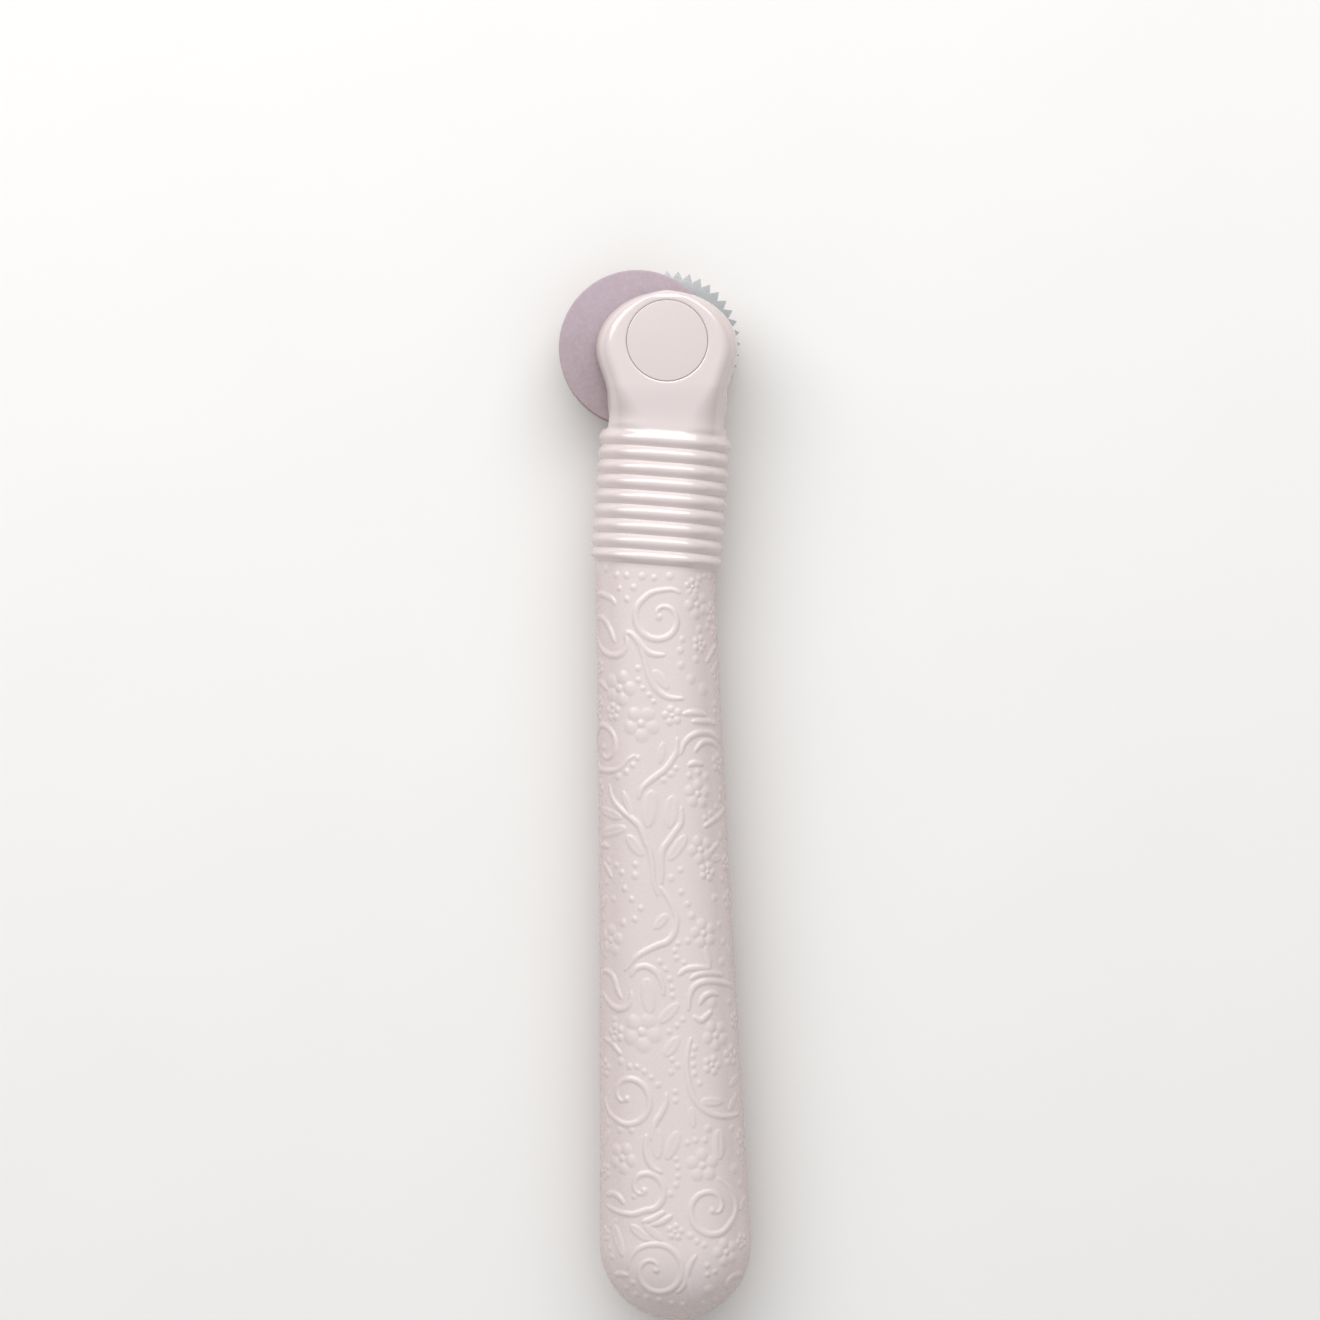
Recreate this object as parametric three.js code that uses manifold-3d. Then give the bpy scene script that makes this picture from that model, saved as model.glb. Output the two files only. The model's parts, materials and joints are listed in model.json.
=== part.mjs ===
// A marking wheel for tracing sewing patterns on to fabric. A serrated steel wheel spins on a pin between the
// cheeks of a forked head, a frosted guard swings about the same pin, and the handle is two plastic shells.
//
// Millimetres, +Z up. The tool lies on its back: the axle stands along Z, the wheel's plane is level, the
// handle runs towards -Y. The shapes are written from the axle at x = y = 0 and from the parting plane of the
// two shells at z = 0; the finished tool is then set down with its lowest point at z = 0 and its box centred.

import * as THREE from "three";
import { mergeVertices } from "three/addons/utils/BufferGeometryUtils.js";
import Module from "manifold-3d";

const wasm = await Module();
wasm.setup();

const DEGREE = Math.PI / 180;

// Wheel and hub
const WHEEL_RADIUS = 10; // to the tips of the teeth
const WHEEL_THICKNESS = 0.8;
const TOOTH_COUNT = 40;
const TOOTH_DEPTH = 1;
const HUB_WALL = 0.7;
const HUB_LIP = 0.9; // flange beyond the wheel's bore
const HUB_FLANGE = 1; // flange thickness

// Axle pin, clip and wave washers
const PIN_RADIUS = 1.5;
const PIN_HEAD_LIP = 1.5;
const PIN_HEAD_THICKNESS = 1;
const PIN_TAIL = 0.5; // shank beyond the clip
const PIN_GROOVE_DEPTH = 0.4;
const CLIP_LIP = 1.4;
const CLIP_THICKNESS = 0.5;
const CLIP_MOUTH = 0.85; // opening, as a share of the clip's bore
const WASHER_BAND = 1.9;
const WASHER_SHEET = 0.2;
const WASHER_WAVE = 0.1; // rise of each wave above the washer's middle
const WAVE_COUNT = 3;

// Guard, a hood whose round outline is off-centre on the axle
const GUARD_OVERHANG = 0.6; // outline radius over the wheel's
const GUARD_OFFSET = 4.15; // axle to the outline's centre
const GUARD_PLATE = 0.9;
const GUARD_RIM = 1; // thickness of the rim that joins the two plates
const GUARD_RIM_START = 5.2; // axle to the ends of the rim
const GUARD_EDGE = 0.3; // chamfer round the outline
const GUARD_REST_TILT = 9.5; // degrees below level in the open position

// Caps and cheeks
const CAP_RADIUS = 5.35;
const CAP_THICKNESS = 1.2;
const CAP_EDGE = 0.15;
const CHEEK_WEB = 1.7; // cheek left under the pockets
const BOSS_LAND = 1.5; // flat ring round the cap
const HEAD_ROUND = 2.6; // rounding of the head's long edges, across
const HEAD_ROUND_DEPTH = 3.4; // and in depth
const MOST_ROUND = 0.8; // share of the half width that the rounding may take at the top
const TOP_LAND = 0.2;
const TOP_ROUND = 1.2;
const BOSS_LEVEL = -0.9; // widest place of the head
const WAIST_HALF_WIDTH = 8.1;
const WAIST_LENGTH = 3.7;
const WAIST_SCOOP = 0.9; // depth lost at the waist
const FORK_ROOT = 0.2; // floor of the wheel slot to the ribs

// Finger ribs
const RIB_COUNT = 9;
const RIB_WIDTH = 1.5;
const RIB_GROOVE = 0.49;
const RIB_HEIGHT = 0.5;
const RIB_LAND = 0.75; // plain band before the first rib and after the last
const RIB_HALF_WIDTH = 9.02; // to the crests
const RIB_LEAN = 4.4; // degrees

// Grip
const GRIP_LENGTH = 91.7;
const GRIP_LEAN = 1.75; // degrees, the other way
const BEND_LENGTH = 9;
const NECK_HALF_WIDTH = 8.2;
const NECK_HALF_DEPTH = 6.8;
const BUTT_HALF_WIDTH = 10.4;
const BUTT_LENGTH = 10.5;
const SWELL = 1.3; // how late the grip widens
const OVAL_FLAT = 0.2; // share of the oval section that is flat, across
const OVAL_FLAT_DEPTH = 0.08; // and in depth

// Shells
const SHELL_WALL = 2;
const LEAST_CORNER = 0.2; // rounding left inside where the wall is thick
const NECK_ROOT = 4; // solid neck below the wheel slot
const BUTT_WALL = 4;
const PEG_COUNT = 3;
const PEG_RADIUS = 1.2;
const PEG_LENGTH = 2;
const PEG_POST_WALL = 1.2;

// Clearances
const SEAM = 0.1;
const SEAT_GAP = 0.1;
const MOULD_GAP = 0.05;
const CAP_GAP = 0.15;
const PEG_GAP = 0.15;
const POCKET_GAP = 0.3;
const RUNNING_GAP = 0.1;
const SWING_GAP = 0.4;

// Fineness of the facets
const SMALL_STEPS = 24;
const LARGE_STEPS = 56;
const CORNER_STEPS = 6;
const CENTRE_LINE_STEPS = 200;
const BOSS_RINGS = 8;
const FLARE_RINGS = 6;
const GRIP_RINGS = 15;
const BUTT_RINGS = 7;
const CAVITY_RINGS = 20;
const RIB_RING_SHARES = [0.5, 0.25, -0.25, -0.5]; // of a rib's width, from its crest
const END_INSET = 0.06; // last ring to the tip of a rounded end

// Stack along the axle, from the middle of the wheel outwards
const wheelHalf = WHEEL_THICKNESS / 2;
const hubHalf = wheelHalf + MOULD_GAP + HUB_FLANGE;
const guardInner = hubHalf + SEAT_GAP;
const guardHalf = guardInner + GUARD_PLATE;
const pinBore = PIN_RADIUS + RUNNING_GAP;
const hubNeckRadius = pinBore + HUB_WALL;
const hubRadius = hubNeckRadius + HUB_LIP;
const pinHeadRadius = PIN_RADIUS + PIN_HEAD_LIP;
const clipRadius = PIN_RADIUS + CLIP_LIP;
const washerBore = PIN_RADIUS + 2 * RUNNING_GAP;
const washerHalf = WASHER_SHEET / 2 + WASHER_WAVE;
const washerLevel = guardHalf + SEAT_GAP + washerHalf;
const slotHalf = washerLevel + washerHalf + SEAT_GAP;
const pocketFloor = slotHalf + CHEEK_WEB;
const headPocket = SEAT_GAP + PIN_HEAD_THICKNESS + SEAT_GAP;
const clipPocket = SEAT_GAP + CLIP_THICKNESS + SEAT_GAP + PIN_TAIL + SEAT_GAP;
const recessFloor = pocketFloor + Math.max(headPocket, clipPocket);
const halfDepth = recessFloor + SEAT_GAP + CAP_THICKNESS;

// Plan of the head and lengths down the centre line, both from the axle
const guardRadius = WHEEL_RADIUS + GUARD_OVERHANG;
const guardDrop = GUARD_OFFSET * Math.sin(GUARD_REST_TILT * DEGREE);
const slotFloor = -(guardRadius + guardDrop + SWING_GAP);
const recessRadius = CAP_RADIUS + CAP_GAP;
const bossHalfWidth = recessRadius + BOSS_LAND + HEAD_ROUND;
const headTop = recessRadius + TOP_LAND + TOP_ROUND;
const scoopTop = -(recessRadius + TOP_LAND);
const ribsTop = slotFloor - FORK_ROOT;
const shoulderTop = ribsTop + RIB_LAND;
const shoulderFoot = ribsTop - RIB_LAND;
const flareFoot = shoulderTop + WAIST_LENGTH;
const ribPitch = RIB_WIDTH + RIB_GROOVE;
const firstCrest = shoulderFoot - RIB_WIDTH / 2;
const lastCrest = firstCrest - (RIB_COUNT - 1) * ribPitch;
const gripTop = lastCrest - RIB_WIDTH / 2 - RIB_LAND;
const buttTop = gripTop - GRIP_LENGTH;
const buttEnd = buttTop - BUTT_LENGTH;
const ribHalfWidth = RIB_HALF_WIDTH - RIB_HEIGHT;
const ribHalfDepth = halfDepth - RIB_HEIGHT;

const { clamp, lerp, smoothstep } = THREE.MathUtils;

// Lean of the centre line at a level: upright head, ribs leaning one way, grip leaning the other way
function leanAt(level) {
  const intoRibs = smoothstep(-level, -flareFoot, -ribsTop);
  const intoGrip = smoothstep(-level, -gripTop - BEND_LENGTH / 2, -gripTop + BEND_LENGTH / 2);
  return lerp(RIB_LEAN * intoRibs, -GRIP_LEAN, intoGrip) * DEGREE;
}

// Sideways place of the centre line at a level, summed from its lean
function offsetAt(level) {
  const step = Math.max(0, flareFoot - level) / CENTRE_LINE_STEPS;
  let offset = 0;
  for (let i = 0; i < CENTRE_LINE_STEPS; i += 1) {
    offset -= Math.tan(leanAt(flareFoot - (i + 0.5) * step)) * step;
  }
  return offset;
}

// Height of a rounded rib at a level, nought between and beyond the ribs
function ribAt(level) {
  const nearest = clamp(Math.round((firstCrest - level) / ribPitch), 0, RIB_COUNT - 1);
  const across = (2 * (firstCrest - nearest * ribPitch - level)) / RIB_WIDTH;
  return RIB_HEIGHT * Math.sqrt(Math.max(0, 1 - across * across));
}

// Half width and half depth of the head: a round boss above a scooped waist
function headSizeAt(level) {
  const rise = Math.max(0, (level - BOSS_LEVEL) / (headTop - BOSS_LEVEL));
  const flare = smoothstep(level, flareFoot, BOSS_LEVEL);
  const intoTop = Math.max(0, level - headTop + TOP_ROUND);
  const topLoss = TOP_ROUND - Math.sqrt(TOP_ROUND * TOP_ROUND - intoTop * intoTop);
  const scoop = WAIST_SCOOP * smoothstep(-level, -scoopTop, -shoulderTop);
  return {
    width: lerp(WAIST_HALF_WIDTH, bossHalfWidth, flare) * Math.sqrt(1 - rise * rise),
    depth: halfDepth - scoop - topLoss,
  };
}

// Half width and half depth of the ribs and of the grip, which swells and closes in a round butt
function gripSizeAt(level) {
  const swell = clamp((gripTop - level) / GRIP_LENGTH, 0, 1) ** SWELL;
  const past = clamp((buttTop - level) / BUTT_LENGTH, 0, 1);
  const closing = Math.sqrt(1 - past * past);
  const onRibs = smoothstep(level, gripTop - RIB_LAND, gripTop);
  const rib = ribAt(level);
  return {
    width: lerp(lerp(NECK_HALF_WIDTH, BUTT_HALF_WIDTH, swell) * closing, ribHalfWidth, onRibs) + rib,
    depth: lerp(lerp(NECK_HALF_DEPTH, halfDepth, swell) * closing, ribHalfDepth, onRibs) + rib,
  };
}

// Size and edge rounding of the handle's section at a level: square-shouldered head, oval grip
function sectionAt(level) {
  const shoulder = smoothstep(-level, -shoulderTop, -shoulderFoot);
  const head = headSizeAt(level);
  const grip = gripSizeAt(level);
  const width = lerp(head.width, grip.width, shoulder);
  const depth = lerp(head.depth, grip.depth, shoulder);
  return {
    width,
    depth,
    round: lerp(Math.min(HEAD_ROUND, width * MOST_ROUND), width * (1 - OVAL_FLAT), shoulder),
    roundDepth: lerp(HEAD_ROUND_DEPTH, depth * (1 - OVAL_FLAT_DEPTH), shoulder),
  };
}

// Ring of points round the handle at a level, square to the centre line, a wall's thickness inside it
function ringAt(level, wall = 0) {
  const { width, depth, round, roundDepth } = sectionAt(level);
  const lean = leanAt(level);
  const centre = offsetAt(level);
  const flat = width - round;
  const flatDepth = depth - roundDepth;
  const corner = Math.max(LEAST_CORNER, round - wall);
  const cornerDepth = Math.max(LEAST_CORNER, roundDepth - wall);
  const ring = [];
  for (let quarter = 0; quarter < 4; quarter += 1) {
    const signX = quarter === 0 || quarter === 3 ? 1 : -1;
    const signZ = quarter < 2 ? 1 : -1;
    for (let i = 0; i <= CORNER_STEPS; i += 1) {
      const angle = (quarter + i / CORNER_STEPS) * (Math.PI / 2);
      const across = signX * flat + corner * Math.cos(angle);
      const up = signZ * flatDepth + cornerDepth * Math.sin(angle);
      ring.push(
        new THREE.Vector3(centre + across * Math.cos(lean), level - across * Math.sin(lean), up),
      );
    }
  }
  return ring;
}

// Closed surface through rings that run anticlockwise about the way they are stacked
function loft(rings, closed = false) {
  const count = rings[0].length;
  const index = [];
  const bands = closed ? rings.length : rings.length - 1;
  for (let band = 0; band < bands; band += 1) {
    const here = band * count;
    const next = ((band + 1) % rings.length) * count;
    for (let i = 0; i < count; i += 1) {
      const j = (i + 1) % count;
      index.push(here + i, here + j, next + j, here + i, next + j, next + i);
    }
  }
  const last = (rings.length - 1) * count;
  for (let i = 1; !closed && i < count - 1; i += 1) {
    index.push(0, i + 1, i, last, last + i, last + i + 1);
  }
  const geometry = new THREE.BufferGeometry().setFromPoints(rings.flat());
  geometry.setIndex(index);
  return geometry;
}

// Round bar along Z
function rod(radius, low, high, x = 0, y = 0, steps = SMALL_STEPS) {
  const bar = new THREE.CylinderGeometry(radius, radius, high - low, steps);
  return bar.rotateX(Math.PI / 2).translate(x, y, (low + high) / 2);
}

function block(low, high) {
  const size = high.map((value, axis) => value - low[axis]);
  const middle = high.map((value, axis) => (value + low[axis]) / 2);
  return new THREE.BoxGeometry(...size).translate(...middle);
}

// Profile of [radius, level] pairs turned about Z
function turned(profile, steps = SMALL_STEPS) {
  const points = profile.map(([radius, level]) => new THREE.Vector2(radius, level));
  return new THREE.LatheGeometry(points, steps).rotateX(Math.PI / 2);
}

function solidOf(geometry) {
  const bare = new THREE.BufferGeometry();
  bare.setAttribute("position", geometry.getAttribute("position"));
  bare.setIndex(geometry.getIndex());
  const merged = mergeVertices(bare, 1e-4);
  return new wasm.Manifold(
    new wasm.Mesh({
      numProp: 3,
      vertProperties: new Float32Array(merged.getAttribute("position").array),
      triVerts: new Uint32Array(merged.getIndex().array),
    }),
  );
}

function geometryOf(solid) {
  const mesh = solid.getMesh();
  const geometry = new THREE.BufferGeometry();
  geometry.setAttribute("position", new THREE.BufferAttribute(new Float32Array(mesh.vertProperties), 3));
  geometry.setIndex(new THREE.BufferAttribute(new Uint32Array(mesh.triVerts), 1));
  geometry.computeVertexNormals();
  return geometry;
}

function cut(solid, ...geometries) {
  return geometries.reduce((left, geometry) => left.subtract(solidOf(geometry)), solid);
}

function join(solid, ...geometries) {
  return geometries.reduce((whole, geometry) => whole.add(solidOf(geometry)), solid);
}

function evenly(from, to, count) {
  return Array.from({ length: count }, (_, i) => lerp(from, to, i / (count - 1)));
}

// Levels that fall off towards an end as the rounding there does
function roundingLevels(start, end, count) {
  return evenly(0, 1, count).map((share) => lerp(start, end, Math.sin((share * Math.PI) / 2)));
}

// Levels of the rings down the handle
function handleLevels() {
  const levels = [
    ...roundingLevels(BOSS_LEVEL, headTop - END_INSET, BOSS_RINGS).reverse(),
    ...evenly(BOSS_LEVEL, flareFoot, FLARE_RINGS).slice(1),
    shoulderTop,
    ribsTop,
  ];
  for (let rib = 0; rib < RIB_COUNT; rib += 1) {
    const crest = firstCrest - rib * ribPitch;
    levels.push(...RIB_RING_SHARES.map((share) => crest + share * RIB_WIDTH));
  }
  levels.push(...evenly(gripTop - RIB_LAND, buttTop, GRIP_RINGS));
  levels.push(...roundingLevels(buttTop, buttEnd + END_INSET, BUTT_RINGS).slice(1));
  return levels;
}

// Hollow inside both shells, from the solid neck to the butt
function cavityGeometry() {
  const levels = evenly(ribsTop - NECK_ROOT, buttEnd + BUTT_WALL, CAVITY_RINGS);
  return loft(levels.map((level) => ringAt(level, SHELL_WALL + ribAt(level))));
}

// Two shells: the handle's body, hollowed, slotted for the wheel, bored for the axle and split at mid depth
function shells() {
  const far = headTop - buttEnd;
  const body = cut(
    solidOf(loft(handleLevels().map((level) => ringAt(level)))),
    cavityGeometry(),
    block([-far, slotFloor, -slotHalf], [far, far, slotHalf]),
    rod(pinBore, -halfDepth, halfDepth),
    rod(pinHeadRadius + POCKET_GAP, pocketFloor, halfDepth),
    rod(clipRadius + POCKET_GAP, -halfDepth, -pocketFloor),
    rod(recessRadius, recessFloor, far, 0, 0, LARGE_STEPS),
    rod(recessRadius, -far, -recessFloor, 0, 0, LARGE_STEPS),
  );
  let front = body.intersect(solidOf(block([-far, -far, SEAM / 2], [far, far, far])));
  let rear = body.intersect(solidOf(block([-far, -far, -far], [far, far, -SEAM / 2])));
  const socketRadius = PEG_RADIUS + PEG_GAP;
  const postRadius = socketRadius + PEG_POST_WALL;
  const pegLevels = evenly(gripTop, buttTop, PEG_COUNT + 2).slice(1, -1);
  for (const level of pegLevels) {
    const x = offsetAt(level);
    const reach = sectionAt(level).depth - SHELL_WALL / 2;
    front = join(
      front,
      rod(postRadius, SEAM / 2, reach, x, level),
      rod(PEG_RADIUS, -PEG_LENGTH, SEAM, x, level),
    );
    rear = cut(
      join(rear, rod(postRadius, -reach, -SEAM / 2, x, level)),
      rod(socketRadius, -PEG_LENGTH - POCKET_GAP, SEAM, x, level),
    );
  }
  return { front: geometryOf(front), rear: geometryOf(rear) };
}

// Serrated disc
function wheelGeometry() {
  const outline = new THREE.Shape();
  for (let i = 0; i < 2 * TOOTH_COUNT; i += 1) {
    const angle = (i * Math.PI) / TOOTH_COUNT;
    const radius = i % 2 === 0 ? WHEEL_RADIUS : WHEEL_RADIUS - TOOTH_DEPTH;
    const x = radius * Math.cos(angle);
    const y = radius * Math.sin(angle);
    if (i === 0) {
      outline.moveTo(x, y);
    } else {
      outline.lineTo(x, y);
    }
  }
  const bore = new THREE.Path();
  bore.absarc(0, 0, hubNeckRadius + MOULD_GAP, 0, 2 * Math.PI, true);
  outline.holes.push(bore);
  const disc = new THREE.ExtrudeGeometry(outline, {
    depth: WHEEL_THICKNESS,
    bevelEnabled: false,
    curveSegments: SMALL_STEPS,
  });
  return disc.translate(0, 0, -wheelHalf);
}

// Spool moulded through the wheel's bore
function hubGeometry() {
  const seat = wheelHalf + MOULD_GAP;
  return turned([
    [pinBore, -hubHalf],
    [hubRadius, -hubHalf],
    [hubRadius, -seat],
    [hubNeckRadius, -seat],
    [hubNeckRadius, seat],
    [hubRadius, seat],
    [hubRadius, hubHalf],
    [pinBore, hubHalf],
    [pinBore, -hubHalf],
  ]);
}

// Headed pin with a groove for its clip
function pinGeometry() {
  const clipTop = -pocketFloor - SEAT_GAP;
  const clipFoot = clipTop - CLIP_THICKNESS;
  const tail = clipFoot - SEAT_GAP - PIN_TAIL;
  const head = pocketFloor + SEAT_GAP;
  const edge = PIN_TAIL / 2;
  return turned([
    [0, tail],
    [PIN_RADIUS - edge, tail],
    [PIN_RADIUS, tail + edge],
    [PIN_RADIUS, clipFoot - SEAT_GAP],
    [PIN_RADIUS - PIN_GROOVE_DEPTH, clipFoot - SEAT_GAP],
    [PIN_RADIUS - PIN_GROOVE_DEPTH, clipTop + SEAT_GAP],
    [PIN_RADIUS, clipTop + SEAT_GAP],
    [PIN_RADIUS, head],
    [pinHeadRadius, head],
    [pinHeadRadius, head + PIN_HEAD_THICKNESS - edge],
    [pinHeadRadius - edge, head + PIN_HEAD_THICKNESS],
    [0, head + PIN_HEAD_THICKNESS],
  ]);
}

// Open ring that springs into the pin's groove
function clipGeometry() {
  const innerRadius = PIN_RADIUS - PIN_GROOVE_DEPTH + RUNNING_GAP;
  const mouth = innerRadius * CLIP_MOUTH;
  const outerAngle = Math.asin(mouth / clipRadius);
  const innerAngle = Math.asin(mouth / innerRadius);
  const outline = new THREE.Shape();
  outline.absarc(0, 0, clipRadius, outerAngle, 2 * Math.PI - outerAngle, false);
  outline.absarc(0, 0, innerRadius, 2 * Math.PI - innerAngle, innerAngle, true);
  outline.closePath();
  const clip = new THREE.ExtrudeGeometry(outline, {
    depth: CLIP_THICKNESS,
    bevelEnabled: false,
    curveSegments: SMALL_STEPS,
  });
  return clip.translate(0, 0, -pocketFloor - SEAT_GAP - CLIP_THICKNESS);
}

// Thin ring that rises and falls round the axle
function waveWasherGeometry() {
  const outer = washerBore + WASHER_BAND;
  const rings = [];
  for (let i = 0; i < 2 * SMALL_STEPS; i += 1) {
    const angle = (i * Math.PI) / SMALL_STEPS;
    const middle = WASHER_WAVE * Math.sin(WAVE_COUNT * angle);
    const corners = [
      [washerBore, -1],
      [washerBore, 1],
      [outer, 1],
      [outer, -1],
    ];
    rings.push(
      corners.map(([radius, side]) => {
        const z = middle + (side * WASHER_SHEET) / 2;
        return new THREE.Vector3(radius * Math.cos(angle), radius * Math.sin(angle), z);
      }),
    );
  }
  return loft(rings, true);
}

// Disc that closes a cheek's recess, its face flush with the cheek
function capGeometry() {
  return turned(
    [
      [0, halfDepth - CAP_THICKNESS],
      [CAP_RADIUS, halfDepth - CAP_THICKNESS],
      [CAP_RADIUS, halfDepth - CAP_EDGE],
      [CAP_RADIUS - CAP_EDGE, halfDepth],
      [0, halfDepth],
    ],
    LARGE_STEPS,
  );
}

// Hood of two round plates joined by a rim on the far side from the axle; +X points to the outline's centre
function guardGeometry() {
  const far = 3 * guardRadius;
  const disc = turned(
    [
      [0, -guardHalf],
      [guardRadius - GUARD_EDGE, -guardHalf],
      [guardRadius, -guardHalf + GUARD_EDGE],
      [guardRadius, guardHalf - GUARD_EDGE],
      [guardRadius - GUARD_EDGE, guardHalf],
      [0, guardHalf],
    ],
    LARGE_STEPS,
  ).translate(GUARD_OFFSET, 0, 0);
  const hood = cut(
    solidOf(disc),
    rod(guardRadius - GUARD_RIM, -guardInner, guardInner, GUARD_OFFSET, 0, LARGE_STEPS),
    rod(WHEEL_RADIUS + SWING_GAP, -guardInner, guardInner, 0, 0, LARGE_STEPS),
    block([-far, -far, -guardInner], [GUARD_RIM_START, far, guardInner]),
    rod(pinBore, -far, far),
  );
  return geometryOf(hood);
}

// Materials
const satinLilac = new THREE.MeshStandardMaterial({ color: 0xe3d6d5, roughness: 0.5 });
const glossLilac = new THREE.MeshStandardMaterial({ color: 0xe4d8d7, roughness: 0.3 });
const frostedMauve = new THREE.MeshStandardMaterial({ color: 0xb3a2a8, roughness: 0.6 });
const whiteNylon = new THREE.MeshStandardMaterial({ color: 0xebe7e1, roughness: 0.45 });
const toolSteel = new THREE.MeshStandardMaterial({ color: 0xc4c5c8, roughness: 0.3, metalness: 1 });

function piece(name, geometry, material) {
  const mesh = new THREE.Mesh(geometry, material);
  mesh.name = name;
  return mesh;
}

// Assembly
const handle = shells();
const guard = piece("wheel_guard", guardGeometry(), frostedMauve);
guard.rotation.z = Math.PI + GUARD_REST_TILT * DEGREE;
const frontWasher = piece("front_wave_washer", waveWasherGeometry(), toolSteel);
frontWasher.position.z = washerLevel;
const rearWasher = piece("rear_wave_washer", waveWasherGeometry(), toolSteel);
rearWasher.position.z = -washerLevel;
const rearCap = piece("rear_axle_cap", capGeometry(), glossLilac);
rearCap.rotation.x = Math.PI;

const tool = new THREE.Group();
tool.add(
  piece("front_shell", handle.front, satinLilac),
  piece("rear_shell", handle.rear, satinLilac),
  piece("front_axle_cap", capGeometry(), glossLilac),
  rearCap,
  guard,
  piece("tracing_wheel", wheelGeometry(), toolSteel),
  piece("wheel_hub", hubGeometry(), whiteNylon),
  piece("axle_pin", pinGeometry(), toolSteel),
  piece("axle_clip", clipGeometry(), toolSteel),
  frontWasher,
  rearWasher,
);

const bounds = new THREE.Box3().setFromObject(tool, true);
const centre = bounds.getCenter(new THREE.Vector3());
tool.position.set(-centre.x, -centre.y, -bounds.min.z);

const markingWheel = new THREE.Group();
markingWheel.name = "marking_wheel";
markingWheel.add(tool);

export default markingWheel;
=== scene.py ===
# Looks of a marking wheel for tracing sewing patterns on to fabric: a pale lilac handle of two moulded
# shells with an embossed floral scroll, ribs for the fingers and a forked head, a frosted guard, and a
# serrated steel wheel that spins on its pin.
#
# Shapes are written in millimetres from the axle at x = y = 0 and the parting plane of the shells at z = 0.
# A finished piece is then set into the frame, which is in metres.

import json
import math

import bmesh
import bpy
import numpy as np
from mathutils import Matrix, Vector

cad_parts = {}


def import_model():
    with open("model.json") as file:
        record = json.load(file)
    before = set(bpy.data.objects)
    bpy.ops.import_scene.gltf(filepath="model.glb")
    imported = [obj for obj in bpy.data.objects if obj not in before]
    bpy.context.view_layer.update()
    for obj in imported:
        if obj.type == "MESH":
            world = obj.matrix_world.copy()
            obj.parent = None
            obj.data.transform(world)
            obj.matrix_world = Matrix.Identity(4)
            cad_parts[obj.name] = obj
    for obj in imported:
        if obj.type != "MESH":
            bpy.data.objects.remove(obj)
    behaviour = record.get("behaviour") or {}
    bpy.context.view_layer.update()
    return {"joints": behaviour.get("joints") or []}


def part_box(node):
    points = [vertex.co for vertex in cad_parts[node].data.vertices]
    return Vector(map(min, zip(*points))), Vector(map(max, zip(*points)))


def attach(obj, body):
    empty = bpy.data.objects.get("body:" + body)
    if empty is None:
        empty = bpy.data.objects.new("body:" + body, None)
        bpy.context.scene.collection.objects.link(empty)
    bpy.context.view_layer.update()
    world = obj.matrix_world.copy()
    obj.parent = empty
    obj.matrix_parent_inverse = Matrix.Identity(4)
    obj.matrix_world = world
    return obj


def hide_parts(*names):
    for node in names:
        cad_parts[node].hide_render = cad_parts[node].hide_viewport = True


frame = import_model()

MM = 0.001
AXLE = Vector(frame["joints"][0]["pos_m"])


def corners(node):
    """Lowest and highest corner of a solid, in millimetres from the axle."""
    low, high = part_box(node)
    return (low - AXLE) / MM, (high - AXLE) / MM


# Sizes read from the solids
wheel_low, wheel_high = corners("tracing_wheel")
hub_low, hub_high = corners("wheel_hub")
pin_low, pin_high = corners("axle_pin")
clip_low, clip_high = corners("axle_clip")
washer_low, washer_high = corners("front_wave_washer")
cap_low, cap_high = corners("front_axle_cap")
guard_low, guard_high = corners("wheel_guard")

HALF_DEPTH = cap_high.z
CAP_RADIUS = cap_high.x
CAP_THICKNESS = cap_high.z - cap_low.z
WHEEL_RADIUS = wheel_high.x
WHEEL_HALF = wheel_high.z
HUB_RADIUS = hub_high.x
HUB_HALF = hub_high.z
GUARD_HALF = guard_high.z
PIN_HEAD_RADIUS = pin_high.x
CLIP_RADIUS = -clip_low.x
WASHER_OUTER = washer_high.x

# Clearances
SEAM = 0.1
SEAT_GAP = 0.1
MOULD_GAP = 0.05
CAP_GAP = 0.15
PEG_GAP = 0.15
POCKET_GAP = 0.3
RUNNING_GAP = 0.1
SWING_GAP = 0.4

# Head
BOSS_LAND = 1.5
HEAD_ROUND = 2.6
HEAD_ROUND_DEPTH = 3.4
MOST_ROUND = 0.8
TOP_LAND = 0.2
TOP_ROUND = 1.2
BOSS_LEVEL = -0.9
WAIST_HALF_WIDTH = 8.1
WAIST_LENGTH = 3.7
WAIST_SCOOP = 0.5
WAIST_ROUND = 5.2
SHOULDER_SNAP = 1.4
FORK_ROOT = 0.2

# Finger ribs
RIB_COUNT = 9
RIB_WIDTH = 1.5
RIB_GROOVE = 0.49
RIB_FULLNESS = 0.53
RIB_HEIGHT = 0.5
RIB_LAND = 0.75
RIB_HALF_WIDTH = 9.02
RIB_LEAN = 4.4

# Grip
GRIP_LENGTH = 91.7
GRIP_LEAN = 1.75
BEND_LENGTH = 9
NECK_HALF_WIDTH = 8.2
NECK_HALF_DEPTH = 6.8
BUTT_HALF_WIDTH = 10.4
BUTT_LENGTH = 10.5
SWELL = 1.3
OVAL_FLAT = 0.2
OVAL_FLAT_DEPTH = 0.08

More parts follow.
